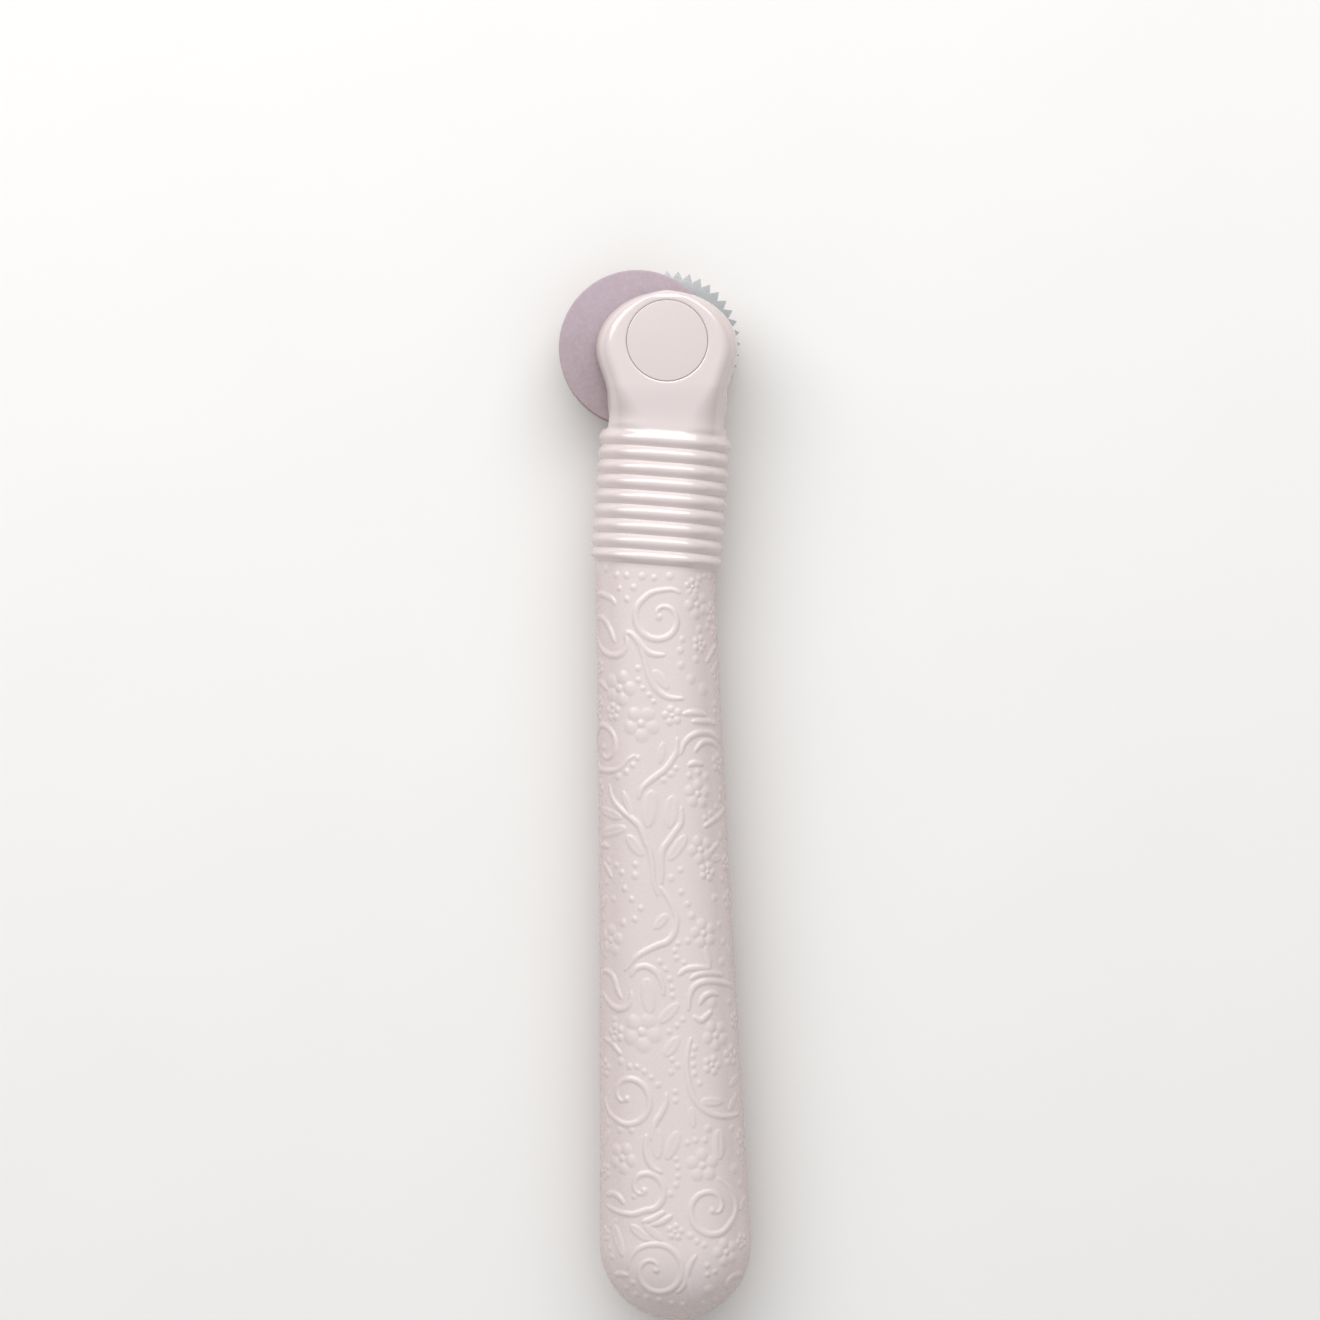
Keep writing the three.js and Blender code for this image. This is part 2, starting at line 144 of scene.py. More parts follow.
# Inside of the shells
SHELL_WALL = 2
LEAST_CORNER = 0.2
NECK_ROOT = 4
BUTT_WALL = 4
PEG_COUNT = 3
PEG_RADIUS = 1.2
PEG_LENGTH = 2
PEG_POST_WALL = 1.2

# Axle, guard and wheel
PIN_RADIUS = 1.5
PIN_GROOVE_DEPTH = 0.4
PIN_HEAD_THICKNESS = 1
PIN_EDGE = 0.25
HUB_WALL = 0.7
CLIP_MOUTH = 0.85
WASHER_SHEET = 0.2
WAVE_COUNT = 3
GUARD_OVERHANG = 0.6
GUARD_OFFSET = 4.15
GUARD_PLATE = 0.9
GUARD_RIM = 1
GUARD_RIM_START = 5.2
GUARD_REST_TILT = 9.5
TOOTH_COUNT = 40
TOOTH_DEPTH = 1
TOOTH_BEVEL = 1.6
TOOTH_EDGE = 0.12

# Moulded roundings
GUARD_EDGE = 0.15
CAP_EDGE = 0.14
CAP_LINE = 0.04
RECESS_EDGE = 0.34
RECESS_EDGE_DEPTH = 0.15
SEAM_EDGE = 0.2
FORK_EDGE = 0.35
SMALL_EDGE = 0.12

# Fineness of the meshes
RELIEF_GRID = 0.15
HEAD_GRID = 0.2
RIB_STEPS = 26
END_STEPS = 60
SECTION_STEPS = 120
ROUND_STEPS = 160
FILLET_STEPS = 6
CENTRE_LINE_STEPS = 2000
CAVITY_STEPS = 60
CURVE_STEP = 0.08
TOOTH_STEPS = 6
SEAM_STEPS = 4
END_INSET = 0.01
LEAST_RING_GAP = 0.015
MERGE_DISTANCE = 1e-4
SHARP_ANGLE = math.radians(52)

# Embossed ornament
RELIEF = 0.17
GROUND = 0.09
DOME_SOFTNESS = 1.05
LEAF_SOFTNESS = 0.6
STEM_HALF_WIDTH = 0.52
STEM_TAPER = 0.4
LEAF_HEIGHT = 0.75
LEAF_VEIN = 0.22
LEAF_CREASE = 0.35
LEAF_TIP = 0.8
LEAST_EDGE = 1e-6
PETAL_HEIGHT = 0.9
BEAD_HEIGHT = 0.7
PLAIN_END = 2

# Levels down the centre line and places along the axle, worked out as in the solids
SLOT_HALF = washer_high.z + SEAT_GAP
POCKET_FLOOR = -clip_high.z - SEAT_GAP
RECESS_FLOOR = HALF_DEPTH - CAP_THICKNESS - SEAT_GAP
RECESS_RADIUS = CAP_RADIUS + CAP_GAP
PIN_BORE = PIN_RADIUS + RUNNING_GAP
HUB_NECK_RADIUS = PIN_BORE + HUB_WALL
WASHER_BORE = PIN_RADIUS + 2 * RUNNING_GAP
GUARD_RADIUS = WHEEL_RADIUS + GUARD_OVERHANG
GUARD_INNER = GUARD_HALF - GUARD_PLATE
BOSS_HALF_WIDTH = RECESS_RADIUS + BOSS_LAND + HEAD_ROUND
HEAD_TOP = RECESS_RADIUS + TOP_LAND + TOP_ROUND
SLOT_FLOOR = -(GUARD_RADIUS + GUARD_OFFSET * math.sin(math.radians(GUARD_REST_TILT)) + SWING_GAP)
SCOOP_TOP = -(RECESS_RADIUS + TOP_LAND)
RIBS_TOP = SLOT_FLOOR - FORK_ROOT
SHOULDER_TOP = RIBS_TOP + RIB_LAND
SHOULDER_FOOT = RIBS_TOP - RIB_LAND
FLARE_FOOT = SHOULDER_TOP + WAIST_LENGTH
RIB_PITCH = RIB_WIDTH + RIB_GROOVE
FIRST_CREST = SHOULDER_FOOT - RIB_WIDTH / 2
LAST_CREST = FIRST_CREST - (RIB_COUNT - 1) * RIB_PITCH
RIBS_FOOT = LAST_CREST - RIB_WIDTH / 2
GRIP_TOP = RIBS_FOOT - RIB_LAND
BUTT_TOP = GRIP_TOP - GRIP_LENGTH
BUTT_END = BUTT_TOP - BUTT_LENGTH
RIB_BASE_WIDTH = RIB_HALF_WIDTH - RIB_HEIGHT
RIB_BASE_DEPTH = HALF_DEPTH - RIB_HEIGHT


def lerp(first, second, share):
    return first + (second - first) * share


def smoothstep(value, low, high):
    share = np.clip((value - low) / (high - low), 0, 1)
    return share * share * (3 - 2 * share)


# Form of the handle

def lean_at(level, bend_top=GRIP_TOP + BEND_LENGTH / 2):
    """Lean of the centre line: upright head, ribs leaning one way, grip the other way below the bend."""
    into_ribs = smoothstep(-level, -FLARE_FOOT, -RIBS_TOP)
    into_grip = smoothstep(-level, -bend_top, -bend_top + BEND_LENGTH)
    return np.radians(lerp(RIB_LEAN * into_ribs, -GRIP_LEAN, into_grip))


def offset_at(level):
    """Sideways place of the centre line, summed from its lean."""
    steps = np.linspace(FLARE_FOOT, BUTT_END, CENTRE_LINE_STEPS)
    slope = np.tan(lean_at(steps))
    rises = (slope[1:] + slope[:-1]) / 2 * np.diff(steps)
    return np.interp(-level, -steps, np.concatenate([[0], np.cumsum(rises)]))


def rib_at(level):
    """Height of the ribs, which run into each other; the first one slopes up from the shoulder."""
    nearest = np.clip(np.round((FIRST_CREST - level) / RIB_PITCH), 0, RIB_COUNT - 1)
    across = np.clip(2 * (FIRST_CREST - nearest * RIB_PITCH - level) / RIB_PITCH, -1, 1)
    rounded = np.cos(math.pi / 2 * across) ** (2 * RIB_FULLNESS)
    slope = np.where(level > FIRST_CREST, smoothstep(-level, -RIBS_TOP, -FIRST_CREST), 0)
    return RIB_HEIGHT * np.maximum(rounded, slope)


def head_size_at(level):
    """Half width and half depth of the head: a round boss above a scooped waist."""
    rise = np.clip((level - BOSS_LEVEL) / (HEAD_TOP - BOSS_LEVEL), 0, 1)
    flare = smoothstep(level, FLARE_FOOT, BOSS_LEVEL)
    into_top = np.clip(level - HEAD_TOP + TOP_ROUND, 0, TOP_ROUND)
    top_loss = TOP_ROUND - np.sqrt(TOP_ROUND**2 - into_top**2)
    scoop = WAIST_SCOOP * smoothstep(-level, -SCOOP_TOP, -SHOULDER_TOP)
    width = lerp(WAIST_HALF_WIDTH, BOSS_HALF_WIDTH, flare) * np.sqrt(1 - rise**2)
    return width, HALF_DEPTH - scoop - top_loss


def grip_size_at(level):
    """Half width and half depth of the ribs and of the grip, which swells and closes in a round butt."""
    swell = np.clip((GRIP_TOP - level) / GRIP_LENGTH, 0, 1) ** SWELL
    past = np.clip((BUTT_TOP - level) / BUTT_LENGTH, 0, 1)
    closing = np.sqrt(1 - past**2)
    on_ribs = smoothstep(level, RIBS_FOOT, LAST_CREST)
    width = lerp(NECK_HALF_WIDTH, BUTT_HALF_WIDTH, swell) * closing
    depth = lerp(NECK_HALF_DEPTH, HALF_DEPTH, swell) * closing
    rib = rib_at(level)
    return lerp(width, RIB_BASE_WIDTH, on_ribs) + rib, lerp(depth, RIB_BASE_DEPTH, on_ribs) + rib


def section_at(level):
    """Half width, half depth and edge rounding of the section: square-shouldered head, oval grip."""
    shoulder = smoothstep(-level, -SHOULDER_TOP, -SHOULDER_FOOT) ** SHOULDER_SNAP
    waist = smoothstep(-level, -SCOOP_TOP, -SHOULDER_TOP)
    head_width, head_depth = head_size_at(level)
    grip_width, grip_depth = grip_size_at(level)
    width = lerp(head_width, grip_width, shoulder)
    depth = lerp(head_depth, grip_depth, shoulder)
    head_round = lerp(np.minimum(HEAD_ROUND, width * MOST_ROUND), WAIST_ROUND, waist)
    head_round_depth = lerp(HEAD_ROUND_DEPTH, WAIST_ROUND, waist)
    rounding = lerp(head_round, width * (1 - OVAL_FLAT), shoulder)
    rounding_depth = lerp(head_round_depth, depth * (1 - OVAL_FLAT_DEPTH), shoulder)
    return width, depth, rounding, rounding_depth


def placed(levels, across, up):
    """Points of sections along the centre line, all leaning with the ribs down to the last one."""
    lean = lean_at(levels, RIBS_FOOT)[:, None]
    centre = offset_at(levels)[:, None]
    return np.stack([centre + across * np.cos(lean), levels[:, None] - across * np.sin(lean), up], axis=-1)


def half_sections(levels):
    """Evenly spaced points over the front half of each section: across, up, and arc length from the top."""
    width, depth, rounding, rounding_depth = (size[:, None] for size in section_at(levels))
    angle = np.linspace(0, math.pi / 2, SECTION_STEPS)
    corner_across = width - rounding + rounding * np.cos(angle)
    corner_up = depth - rounding_depth + rounding_depth * np.sin(angle)
    foot = np.zeros_like(width)
    line_across = np.hstack([width, corner_across, -corner_across[:, ::-1], -width])
    line_up = np.hstack([foot, corner_up, corner_up[:, ::-1], foot])
    steps = np.hypot(np.diff(line_across), np.diff(line_up))
    run = np.hstack([foot, np.cumsum(steps, axis=1)])
    longest = run[:, -1].max()
    near_seam = np.arange(SEAM_STEPS) / SEAM_STEPS * SEAM_EDGE / longest
    even = np.linspace(SEAM_EDGE / longest, 1 - SEAM_EDGE / longest, round(longest / RELIEF_GRID))
    shares = np.concatenate([near_seam, even, 1 - near_seam[::-1]])
    across = np.array([np.interp(shares * r[-1], r, a) for r, a in zip(run, line_across)])
    up = np.array([np.interp(shares * r[-1], r, u) for r, u in zip(run, line_up)])
    return across, up, (0.5 - shares) * run[:, -1:]


def falling(start, end, count):
    """Levels that crowd towards a rounded end."""
    return lerp(start, end, np.sin(np.linspace(0, math.pi / 2, count)))


def handle_levels():
    """Levels of the rings down the handle, close together where the form turns quickly."""
    last_groove = LAST_CREST - RIB_PITCH / 2
    levels = np.concatenate([
        falling(BOSS_LEVEL, HEAD_TOP - END_INSET, END_STEPS),
        np.arange(SHOULDER_TOP, BOSS_LEVEL, HEAD_GRID),
        np.arange(SHOULDER_FOOT, SHOULDER_TOP, RELIEF_GRID),
        np.arange(last_groove, SHOULDER_FOOT, RIB_PITCH / RIB_STEPS),
        np.arange(BUTT_TOP, last_groove, RELIEF_GRID),
        falling(BUTT_TOP, BUTT_END + END_INSET, 2 * END_STEPS),
    ])
    ordered = np.sort(levels)[::-1]
    apart = np.concatenate([[True], -np.diff(ordered) > LEAST_RING_GAP])
    return ordered[apart]


# Embossed ornament. Places are in millimetres: across from the middle of the grip, measured over its surface
# with right positive, and down from the top of the grip.

SCROLLS = [  # centre across and down, turns inwards with anticlockwise positive, points that lead in
    (0.3, 6.5, 1.05, [(3.3, 3.2), (2.2, 2.8), (0.8, 2.9), (-0.5, 3.2), (-1.4, 3.8)]),
    (-8.9, 24.1, -1.2, [(-3.6, 25.2), (-4.6, 25.8), (-5.5, 26.7), (-6.6, 27.2), (-8.6, 27.3)]),
    (-6.2, 71.6, 1, [(-10.4, 71.7), (-9.6, 73.3), (-8.3, 74.3)]),
    (-4, 83.9, 0.95, [(-10.3, 86.2), (-9.2, 86.6), (-7.6, 87), (-5.7, 87.1), (-4.1, 86.6)]),
    (5.2, 86.6, -1.05, [(6.2, 82.3), (7.8, 83.5), (8.8, 84.9), (9.1, 86.2), (8.7, 87.4), (7.9, 88.4)]),
    (-2.7, 94.6, -1.15, [(-6.8, 94.4), (-6.5, 93.4), (-5.9, 92.5), (-5, 91.7), (-3.6, 91.2)]),
]

STEMS = [  # points that a stem runs through, across and down
    [(-10.2, 3.3), (-8.5, 3.4), (-7.2, 3.7), (-6.3, 4.1), (-5.8, 4.7)],
    [(-10.3, 6.7), (-8.9, 6.5), (-7.8, 7), (-7, 8), (-6.1, 9.8)],
    [(-10.4, 9.2), (-9.3, 10.5), (-8, 11.3), (-6.5, 11.7), (-5.2, 11.5), (-4.4, 10.7), (-4.2, 9.8),
     (-4.4, 8.9)],
    [(-4.4, 8.8), (-3.8, 8.6), (-3, 9.3), (-2.1, 10.5), (-1.2, 11.3), (-0.2, 11.6), (0.9, 11.6)],
    [(-2.5, 10.4), (-1.9, 11.9), (-1.6, 13.1), (-1.2, 14.6), (-0.5, 16), (0.4, 16.9), (1.5, 17.4),
     (3.3, 17.5)],
    [(7.2, 12.5), (8.4, 11.3), (9.8, 10.3)],
    [(-10.2, 15.3), (-8.9, 15.5), (-7.7, 16.3)],
    [(3.2, 19.6), (4.8, 19.4), (6.7, 19.7)],
    [(4.5, 20.6), (6.5, 20.6), (8.8, 20.9)],
    [(2.3, 22.9), (2.2, 24.5), (1.6, 25.7), (0.6, 27), (-0.6, 27.9), (-1.8, 28.8), (-2.7, 29.7), (-3.2, 31)],
    [(2.7, 25), (3.3, 23.5), (4.4, 22.5), (5.9, 22.1), (7.6, 22.3), (9.1, 22.9), (10.5, 23.7)],
    [(4.8, 24.6), (5.4, 23.9), (6.2, 23.4), (7.5, 23.4), (8.8, 24)],
    [(3.7, 26.5), (4.7, 26.2), (5.9, 26.4)],
    [(-7.8, 29.2), (-7.5, 30.5), (-6.8, 31.6), (-5.6, 32.7), (-4.3, 33.7), (-3.4, 34.5), (-2.9, 35.4),
     (-2.4, 36.8), (-1.9, 38), (-1.6, 39.8), (-1.5, 42), (-1, 44)],
    [(2.6, 32.2), (2.5, 34.2), (1.7, 35.4), (0.9, 36.5), (0, 37.7), (-0.3, 38.9), (-0.3, 40.5), (-0.4, 42.4)],
    [(10.4, 32.4), (9.1, 33.2), (7.6, 33.9), (5.8, 34.8)],
    [(-10.3, 37.5), (-9.2, 37.4), (-8.2, 37.6)],
    [(6.2, 38.6), (7.1, 37.9), (8.1, 37.1)],
    [(-9.4, 39.8), (-8.6, 40.6), (-7.8, 41.7)],
    [(-0.6, 43), (0.6, 44.8), (1.4, 46.8), (1.4, 48), (1, 49.3), (0.1, 50.3), (-1.2, 50.8), (-2.7, 51.5),
     (-3.9, 52.2), (-4.9, 53.1), (-5.9, 54.2)],
    [(-10.3, 54.5), (-9.2, 54.5), (-8.3, 54.8), (-7.7, 55.6), (-7.3, 56.8), (-6.6, 58)],
    [(-10.4, 57.4), (-9.3, 58.4), (-8.2, 59.1), (-7.1, 59.5), (-5.9, 59.2), (-5.2, 58.4), (-5, 57.2)],
    [(-5, 55), (-4.3, 54), (-3.1, 53.6), (-2, 54), (-1.2, 54.8), (-0.7, 56.2), (-0.6, 57.5)],
    [(1.5, 54.8), (2.6, 54), (4.4, 53.8), (6, 53.9)],
    [(3.1, 55.3), (4.4, 54.7), (6.2, 54.6), (8, 54.9)],
    [(2.7, 59.5), (2.9, 57.8), (3.5, 56.5), (4.7, 55.8), (6.2, 55.7), (7.6, 55.9), (9.1, 56.2), (10.4, 56.6)],
    [(4.3, 58.7), (4.9, 57.8), (6.1, 57.3), (7.2, 57.5)],
    [(3.4, 60.4), (4.4, 60.9), (5.3, 60.3), (6, 59.7)],
    [(-10.2, 63.6), (-8.6, 64.1), (-7.7, 64.9), (-6.9, 65.6)],
    [(2.9, 63.3), (2.4, 65.3), (2.2, 67), (2.3, 68.5), (2.6, 70.1), (3.1, 71.4), (4.1, 72.7), (5.6, 73.6),
     (7.3, 74), (9.1, 74), (10.4, 73.8)],
    [(-0.6, 70.8), (-0.7, 72), (-1.3, 73.3), (-2.1, 74.5), (-2.6, 75.7), (-2.9, 77)],
    [(-3.5, 76.4), (-3.7, 78.2), (-3.4, 79.7), (-2.7, 80.8), (-1.6, 81.4)],
    [(-10.3, 84.8), (-9, 84.5), (-7.9, 84.9), (-7.1, 85.7)],
    [(-4.4, 88.1), (-2.9, 87.6), (-1.4, 86.7)],
    [(-3.2, 88.5), (-1.8, 88.1), (-0.4, 87.2)],
    [(2.7, 92.6), (1.9, 93.8), (1.4, 95.2), (1.2, 96.2), (0.7, 97.1), (0, 97.8)],
    [(1.5, 95.6), (1.7, 96.7), (1.9, 98.1), (2.4, 99.7)],
    [(-9.2, 95.6), (-8.1, 95.4), (-6.9, 95.5)],
    [(7.2, 97.4), (7.5, 96.3), (8.5, 95.7), (9.8, 95.6), (10.6, 96)],
]

FLOWERS = [  # across, down, radius, turn of the first petal in degrees
    (5.2, 2.4, 1.3, 20), (5.9, 4.8, 2.1, 40), (6.1, 10.1, 1.3, 0), (-5.6, 16.1, 2.6, 70),
    (-2.5, 20.9, 2.6, 54), (1.7, 19.8, 1.5, 30), (5, 30.4, 2.1, 15), (5.2, 37.9, 2.1, 40),
    (6.1, 40.9, 1.4, 0), (-8.3, 50.2, 2.3, 10), (5.2, 49.2, 2.1, 30), (-3.7, 62.5, 2.9, 60),
    (6.6, 63, 2.2, 50), (5.8, 67, 1.5, 0), (4, 80.5, 2.4, 20), (-7.2, 79.6, 2.3, 60), (0, 89.4, 1.3, 10),
    (7.1, 92.3, 2.1, 35), (8.7, 5.9, 1.6, 25), (9.4, 8.6, 1.1, 50), (-6.8, 19.3, 1.4, 20),
    (8.9, 26.2, 1.5, 10), (-9.9, 18.3, 1.2, 0), (-7.7, 62.7, 1.5, 30), (9.2, 65.9, 1.6, 15),
    (9.9, 91, 1.2, 40), (10.2, 44.8, 1.5, 20), (-10.2, 67.6, 1.4, 10), (-10.6, 81.6, 1.3, 45),
    (10.9, 77, 1.3, 30), (-10.4, 29.6, 1.3, 60), (9.9, 39.8, 1.3, 15), (10.6, 61.2, 1.3, 5),
    (-10.9, 90.1, 1.2, 25), (-9.6, 13.2, 1.2, 30),
]

LEAVES = [  # foot across and down, tip across and down, half width
    (-0.6, 13.7, 1.3, 16.2, 0.8),
    (0.4, 23.4, -0.2, 26.3, 0.6),
    (-1.3, 29.9, -2.1, 34.9, 1.25),
    (1.5, 30.6, 0.8, 35, 1.15),
    (-5.5, 30, -4.3, 33.2, 0.6),
    (-5.8, 33.6, -10.4, 32.4, 0.8),
    (-5.1, 35, -10.3, 36, 0.9),
    (-5, 36, -2.9, 38.7, 0.95),
    (3.1, 36, 0.7, 39.3, 0.9),
    (6.8, 39.2, 8.9, 39.1, 0.6),
    (0.3, 46.6, -1.6, 48.6, 0.75),
    (5.4, 50.9, 6.1, 53.6, 0.5),
    (-2.8, 55.2, -2.5, 60, 1.2),
    (-1.3, 61.2, 1.4, 58.6, 0.9),
    (-0.7, 65.7, 1.3, 63.1, 0.95),
    (4, 71.9, 7.3, 72, 0.75),
    (8.3, 73.2, 10.2, 71, 0.55),
    (2.6, 72.6, 2.9, 75.4, 0.6),
    (6.6, 75.7, 6.4, 79.8, 1.2),
    (-2, 75.5, -2.1, 79.6, 1),
    (0.8, 75.9, -0.9, 79.7, 1),
    (-6.2, 88.6, -3.6, 90.6, 0.8),
    (-4.3, 88.4, -1.7, 90.6, 0.6),
    (-9, 88.6, -7.5, 92.9, 0.9),
    (8.2, 14.1, 10.3, 12.6, 0.6),
    (-9.6, 20.3, -11.3, 19.2, 0.5),
    (9.4, 34.4, 10.9, 36.6, 0.6),
    (-8.9, 44.4, -10.9, 46.2, 0.7),
    (9.3, 50.9, 11, 53.6, 0.7),
    (-9.1, 52.6, -11.1, 51.2, 0.6),
    (8.7, 69.9, 11, 68.6, 0.6),
    (-9.4, 76.1, -11.5, 78.4, 0.6),
    (9.6, 86.8, 11.6, 85, 0.6),
    (-8.4, 87.9, -9.9, 89.2, 0.4),
]

BEADS = [  # across, down, radius
    (-7.5, -0.1, 0.6), (-5.6, 0.8, 0.55), (-4, 0.9, 0.5), (-1.8, 1, 0.6), (-0.2, 1.2, 0.5), (1.9, 1, 0.6),
    (6.4, 1.2, 0.5), (7.4, 0.9, 0.45), (8.6, 1, 0.6), (-5.1, 2.6, 0.45), (-3, 2.5, 0.5), (-4, 4.1, 0.5),
    (6.1, 8.1, 0.6), (7.6, 7.8, 0.55), (5.4, 12.2, 0.6), (3.4, 9.5, 0.5), (3.1, 11, 0.55), (3.1, 13, 0.6),
    (4.5, 14.9, 0.75), (6.5, 16.2, 0.95), (10.1, 15.6, 0.7), (9.1, 14.6, 0.5), (8.7, 18.3, 0.6),
    (8.7, 19.3, 0.5), (-2.7, 13.4, 0.5), (-2.7, 15, 0.45), (-2.1, 16.1, 0.4), (-1.3, 17, 0.45),
    (-0.7, 17.9, 0.4), (-3.1, 25.5, 0.45), (-3.8, 26.5, 0.45), (-4.8, 27.4, 0.5), (-6.2, 28, 0.6),
    (2, 26.9, 0.45), (1.3, 27.7, 0.5), (0.3, 28.5, 0.5), (3.8, 27.9, 0.5), (5.1, 27.4, 0.55),
    (6.4, 28, 0.6), (9.5, 29.8, 0.5), (9.1, 31.1, 0.5), (8.1, 32.2, 0.5), (7, 33, 0.5), (6, 33.6, 0.45),
    (8.8, 36.2, 0.6), (-8.4, 39.5, 0.5), (-6.9, 40, 0.5), (-6, 41, 0.5), (-3.9, 39.9, 0.5),
    (-4, 41.4, 0.6), (-8.8, 42.4, 0.5), (0.9, 41.7, 0.6), (8.8, 42, 0.5), (2.2, 40.6, 0.5),
    (-5.6, 43.2, 0.5), (-4.6, 44.6, 0.5), (-3.3, 45.8, 0.5), (2.2, 43.6, 0.5), (3, 45.2, 0.5),
    (7.2, 44.4, 0.6), (-7.6, 44.6, 0.5), (-10, 47.3, 0.6), (-6, 47.8, 0.6), (-4.2, 47.3, 0.5),
    (3.5, 46.8, 0.6), (2.9, 50.2, 0.55), (8.5, 50.4, 0.55), (7.9, 48, 0.5), (1.6, 50.5, 0.45),
    (1.1, 51.5, 0.45), (1.3, 52.5, 0.45), (2.3, 53.1, 0.4), (-1, 53, 0.5), (-0.2, 54, 0.45),
    (0.3, 55.3, 0.5), (0.6, 56.5, 0.45), (0.6, 57.6, 0.45), (8.1, 53.1, 0.65), (6.2, 58.6, 0.8),
    (9.3, 58.6, 0.6), (-7.9, 60.9, 0.55), (1.1, 61.6, 0.45), (1.9, 60.8, 0.45), (0, 62.4, 0.5),
    (3.4, 64.6, 0.5), (3.1, 65.7, 0.45), (3.1, 66.9, 0.5), (3.2, 68.1, 0.5), (3.9, 69.4, 0.5),
    (-7, 66.5, 0.6), (-5.6, 67.2, 0.5), (-4.5, 67.2, 0.45), (-3.5, 67.8, 0.5), (-2.6, 68.6, 0.45),
    (-1.7, 69.6, 0.5), (0.3, 66.2, 0.45), (1, 67, 0.5), (0.1, 67.9, 0.5), (0.6, 70.5, 0.45),
    (0.6, 71.7, 0.5), (-9.7, 75.1, 0.5), (-7.4, 75.8, 0.55), (-5.6, 75.8, 0.55), (4.9, 75.5, 0.6),
    (8.8, 75.6, 0.5), (2, 77.4, 0.5), (3.1, 77.1, 0.5), (4.4, 77.1, 0.5), (0.4, 79.6, 0.4),
    (0.6, 80.7, 0.45), (0.6, 81.9, 0.45), (0.3, 83.1, 0.5), (-0.5, 84.3, 0.55), (9, 81.1, 0.85),
    (10.1, 79.2, 0.5), (10.1, 83.2, 0.6), (-4.1, 84.2, 0.5), (-5.5, 84.7, 0.45), (2, 89.9, 0.55),
    (2.9, 90.7, 0.5), (3.9, 91.2, 0.5), (-9.9, 91.9, 0.5), (-9.5, 93.1, 0.45), (4.2, 94, 0.5),
    (4.2, 95.3, 0.45), (5.3, 94.9, 0.45), (4.4, 97.5, 0.8), (-6.2, 96.5, 0.5), (-7.3, 97.4, 0.45),
    (-5.9, 98.3, 0.55), (-4.3, 98.6, 0.55), (-2.5, 98.9, 0.5), (-0.8, 99.4, 0.45), (0.7, 99.6, 0.45),
    (3.6, 99.5, 0.5), (5.3, 99, 0.5), (6.6, 98.4, 0.5),
]

PETALS = 5
PETAL_PLACE = 0.6
PETAL_SIZE = 0.4
FLOWER_EYE = 0.25
SCROLL_KNOTS = 12
SCROLL_TIGHTENING = 3
SCROLL_EYE = 0.55


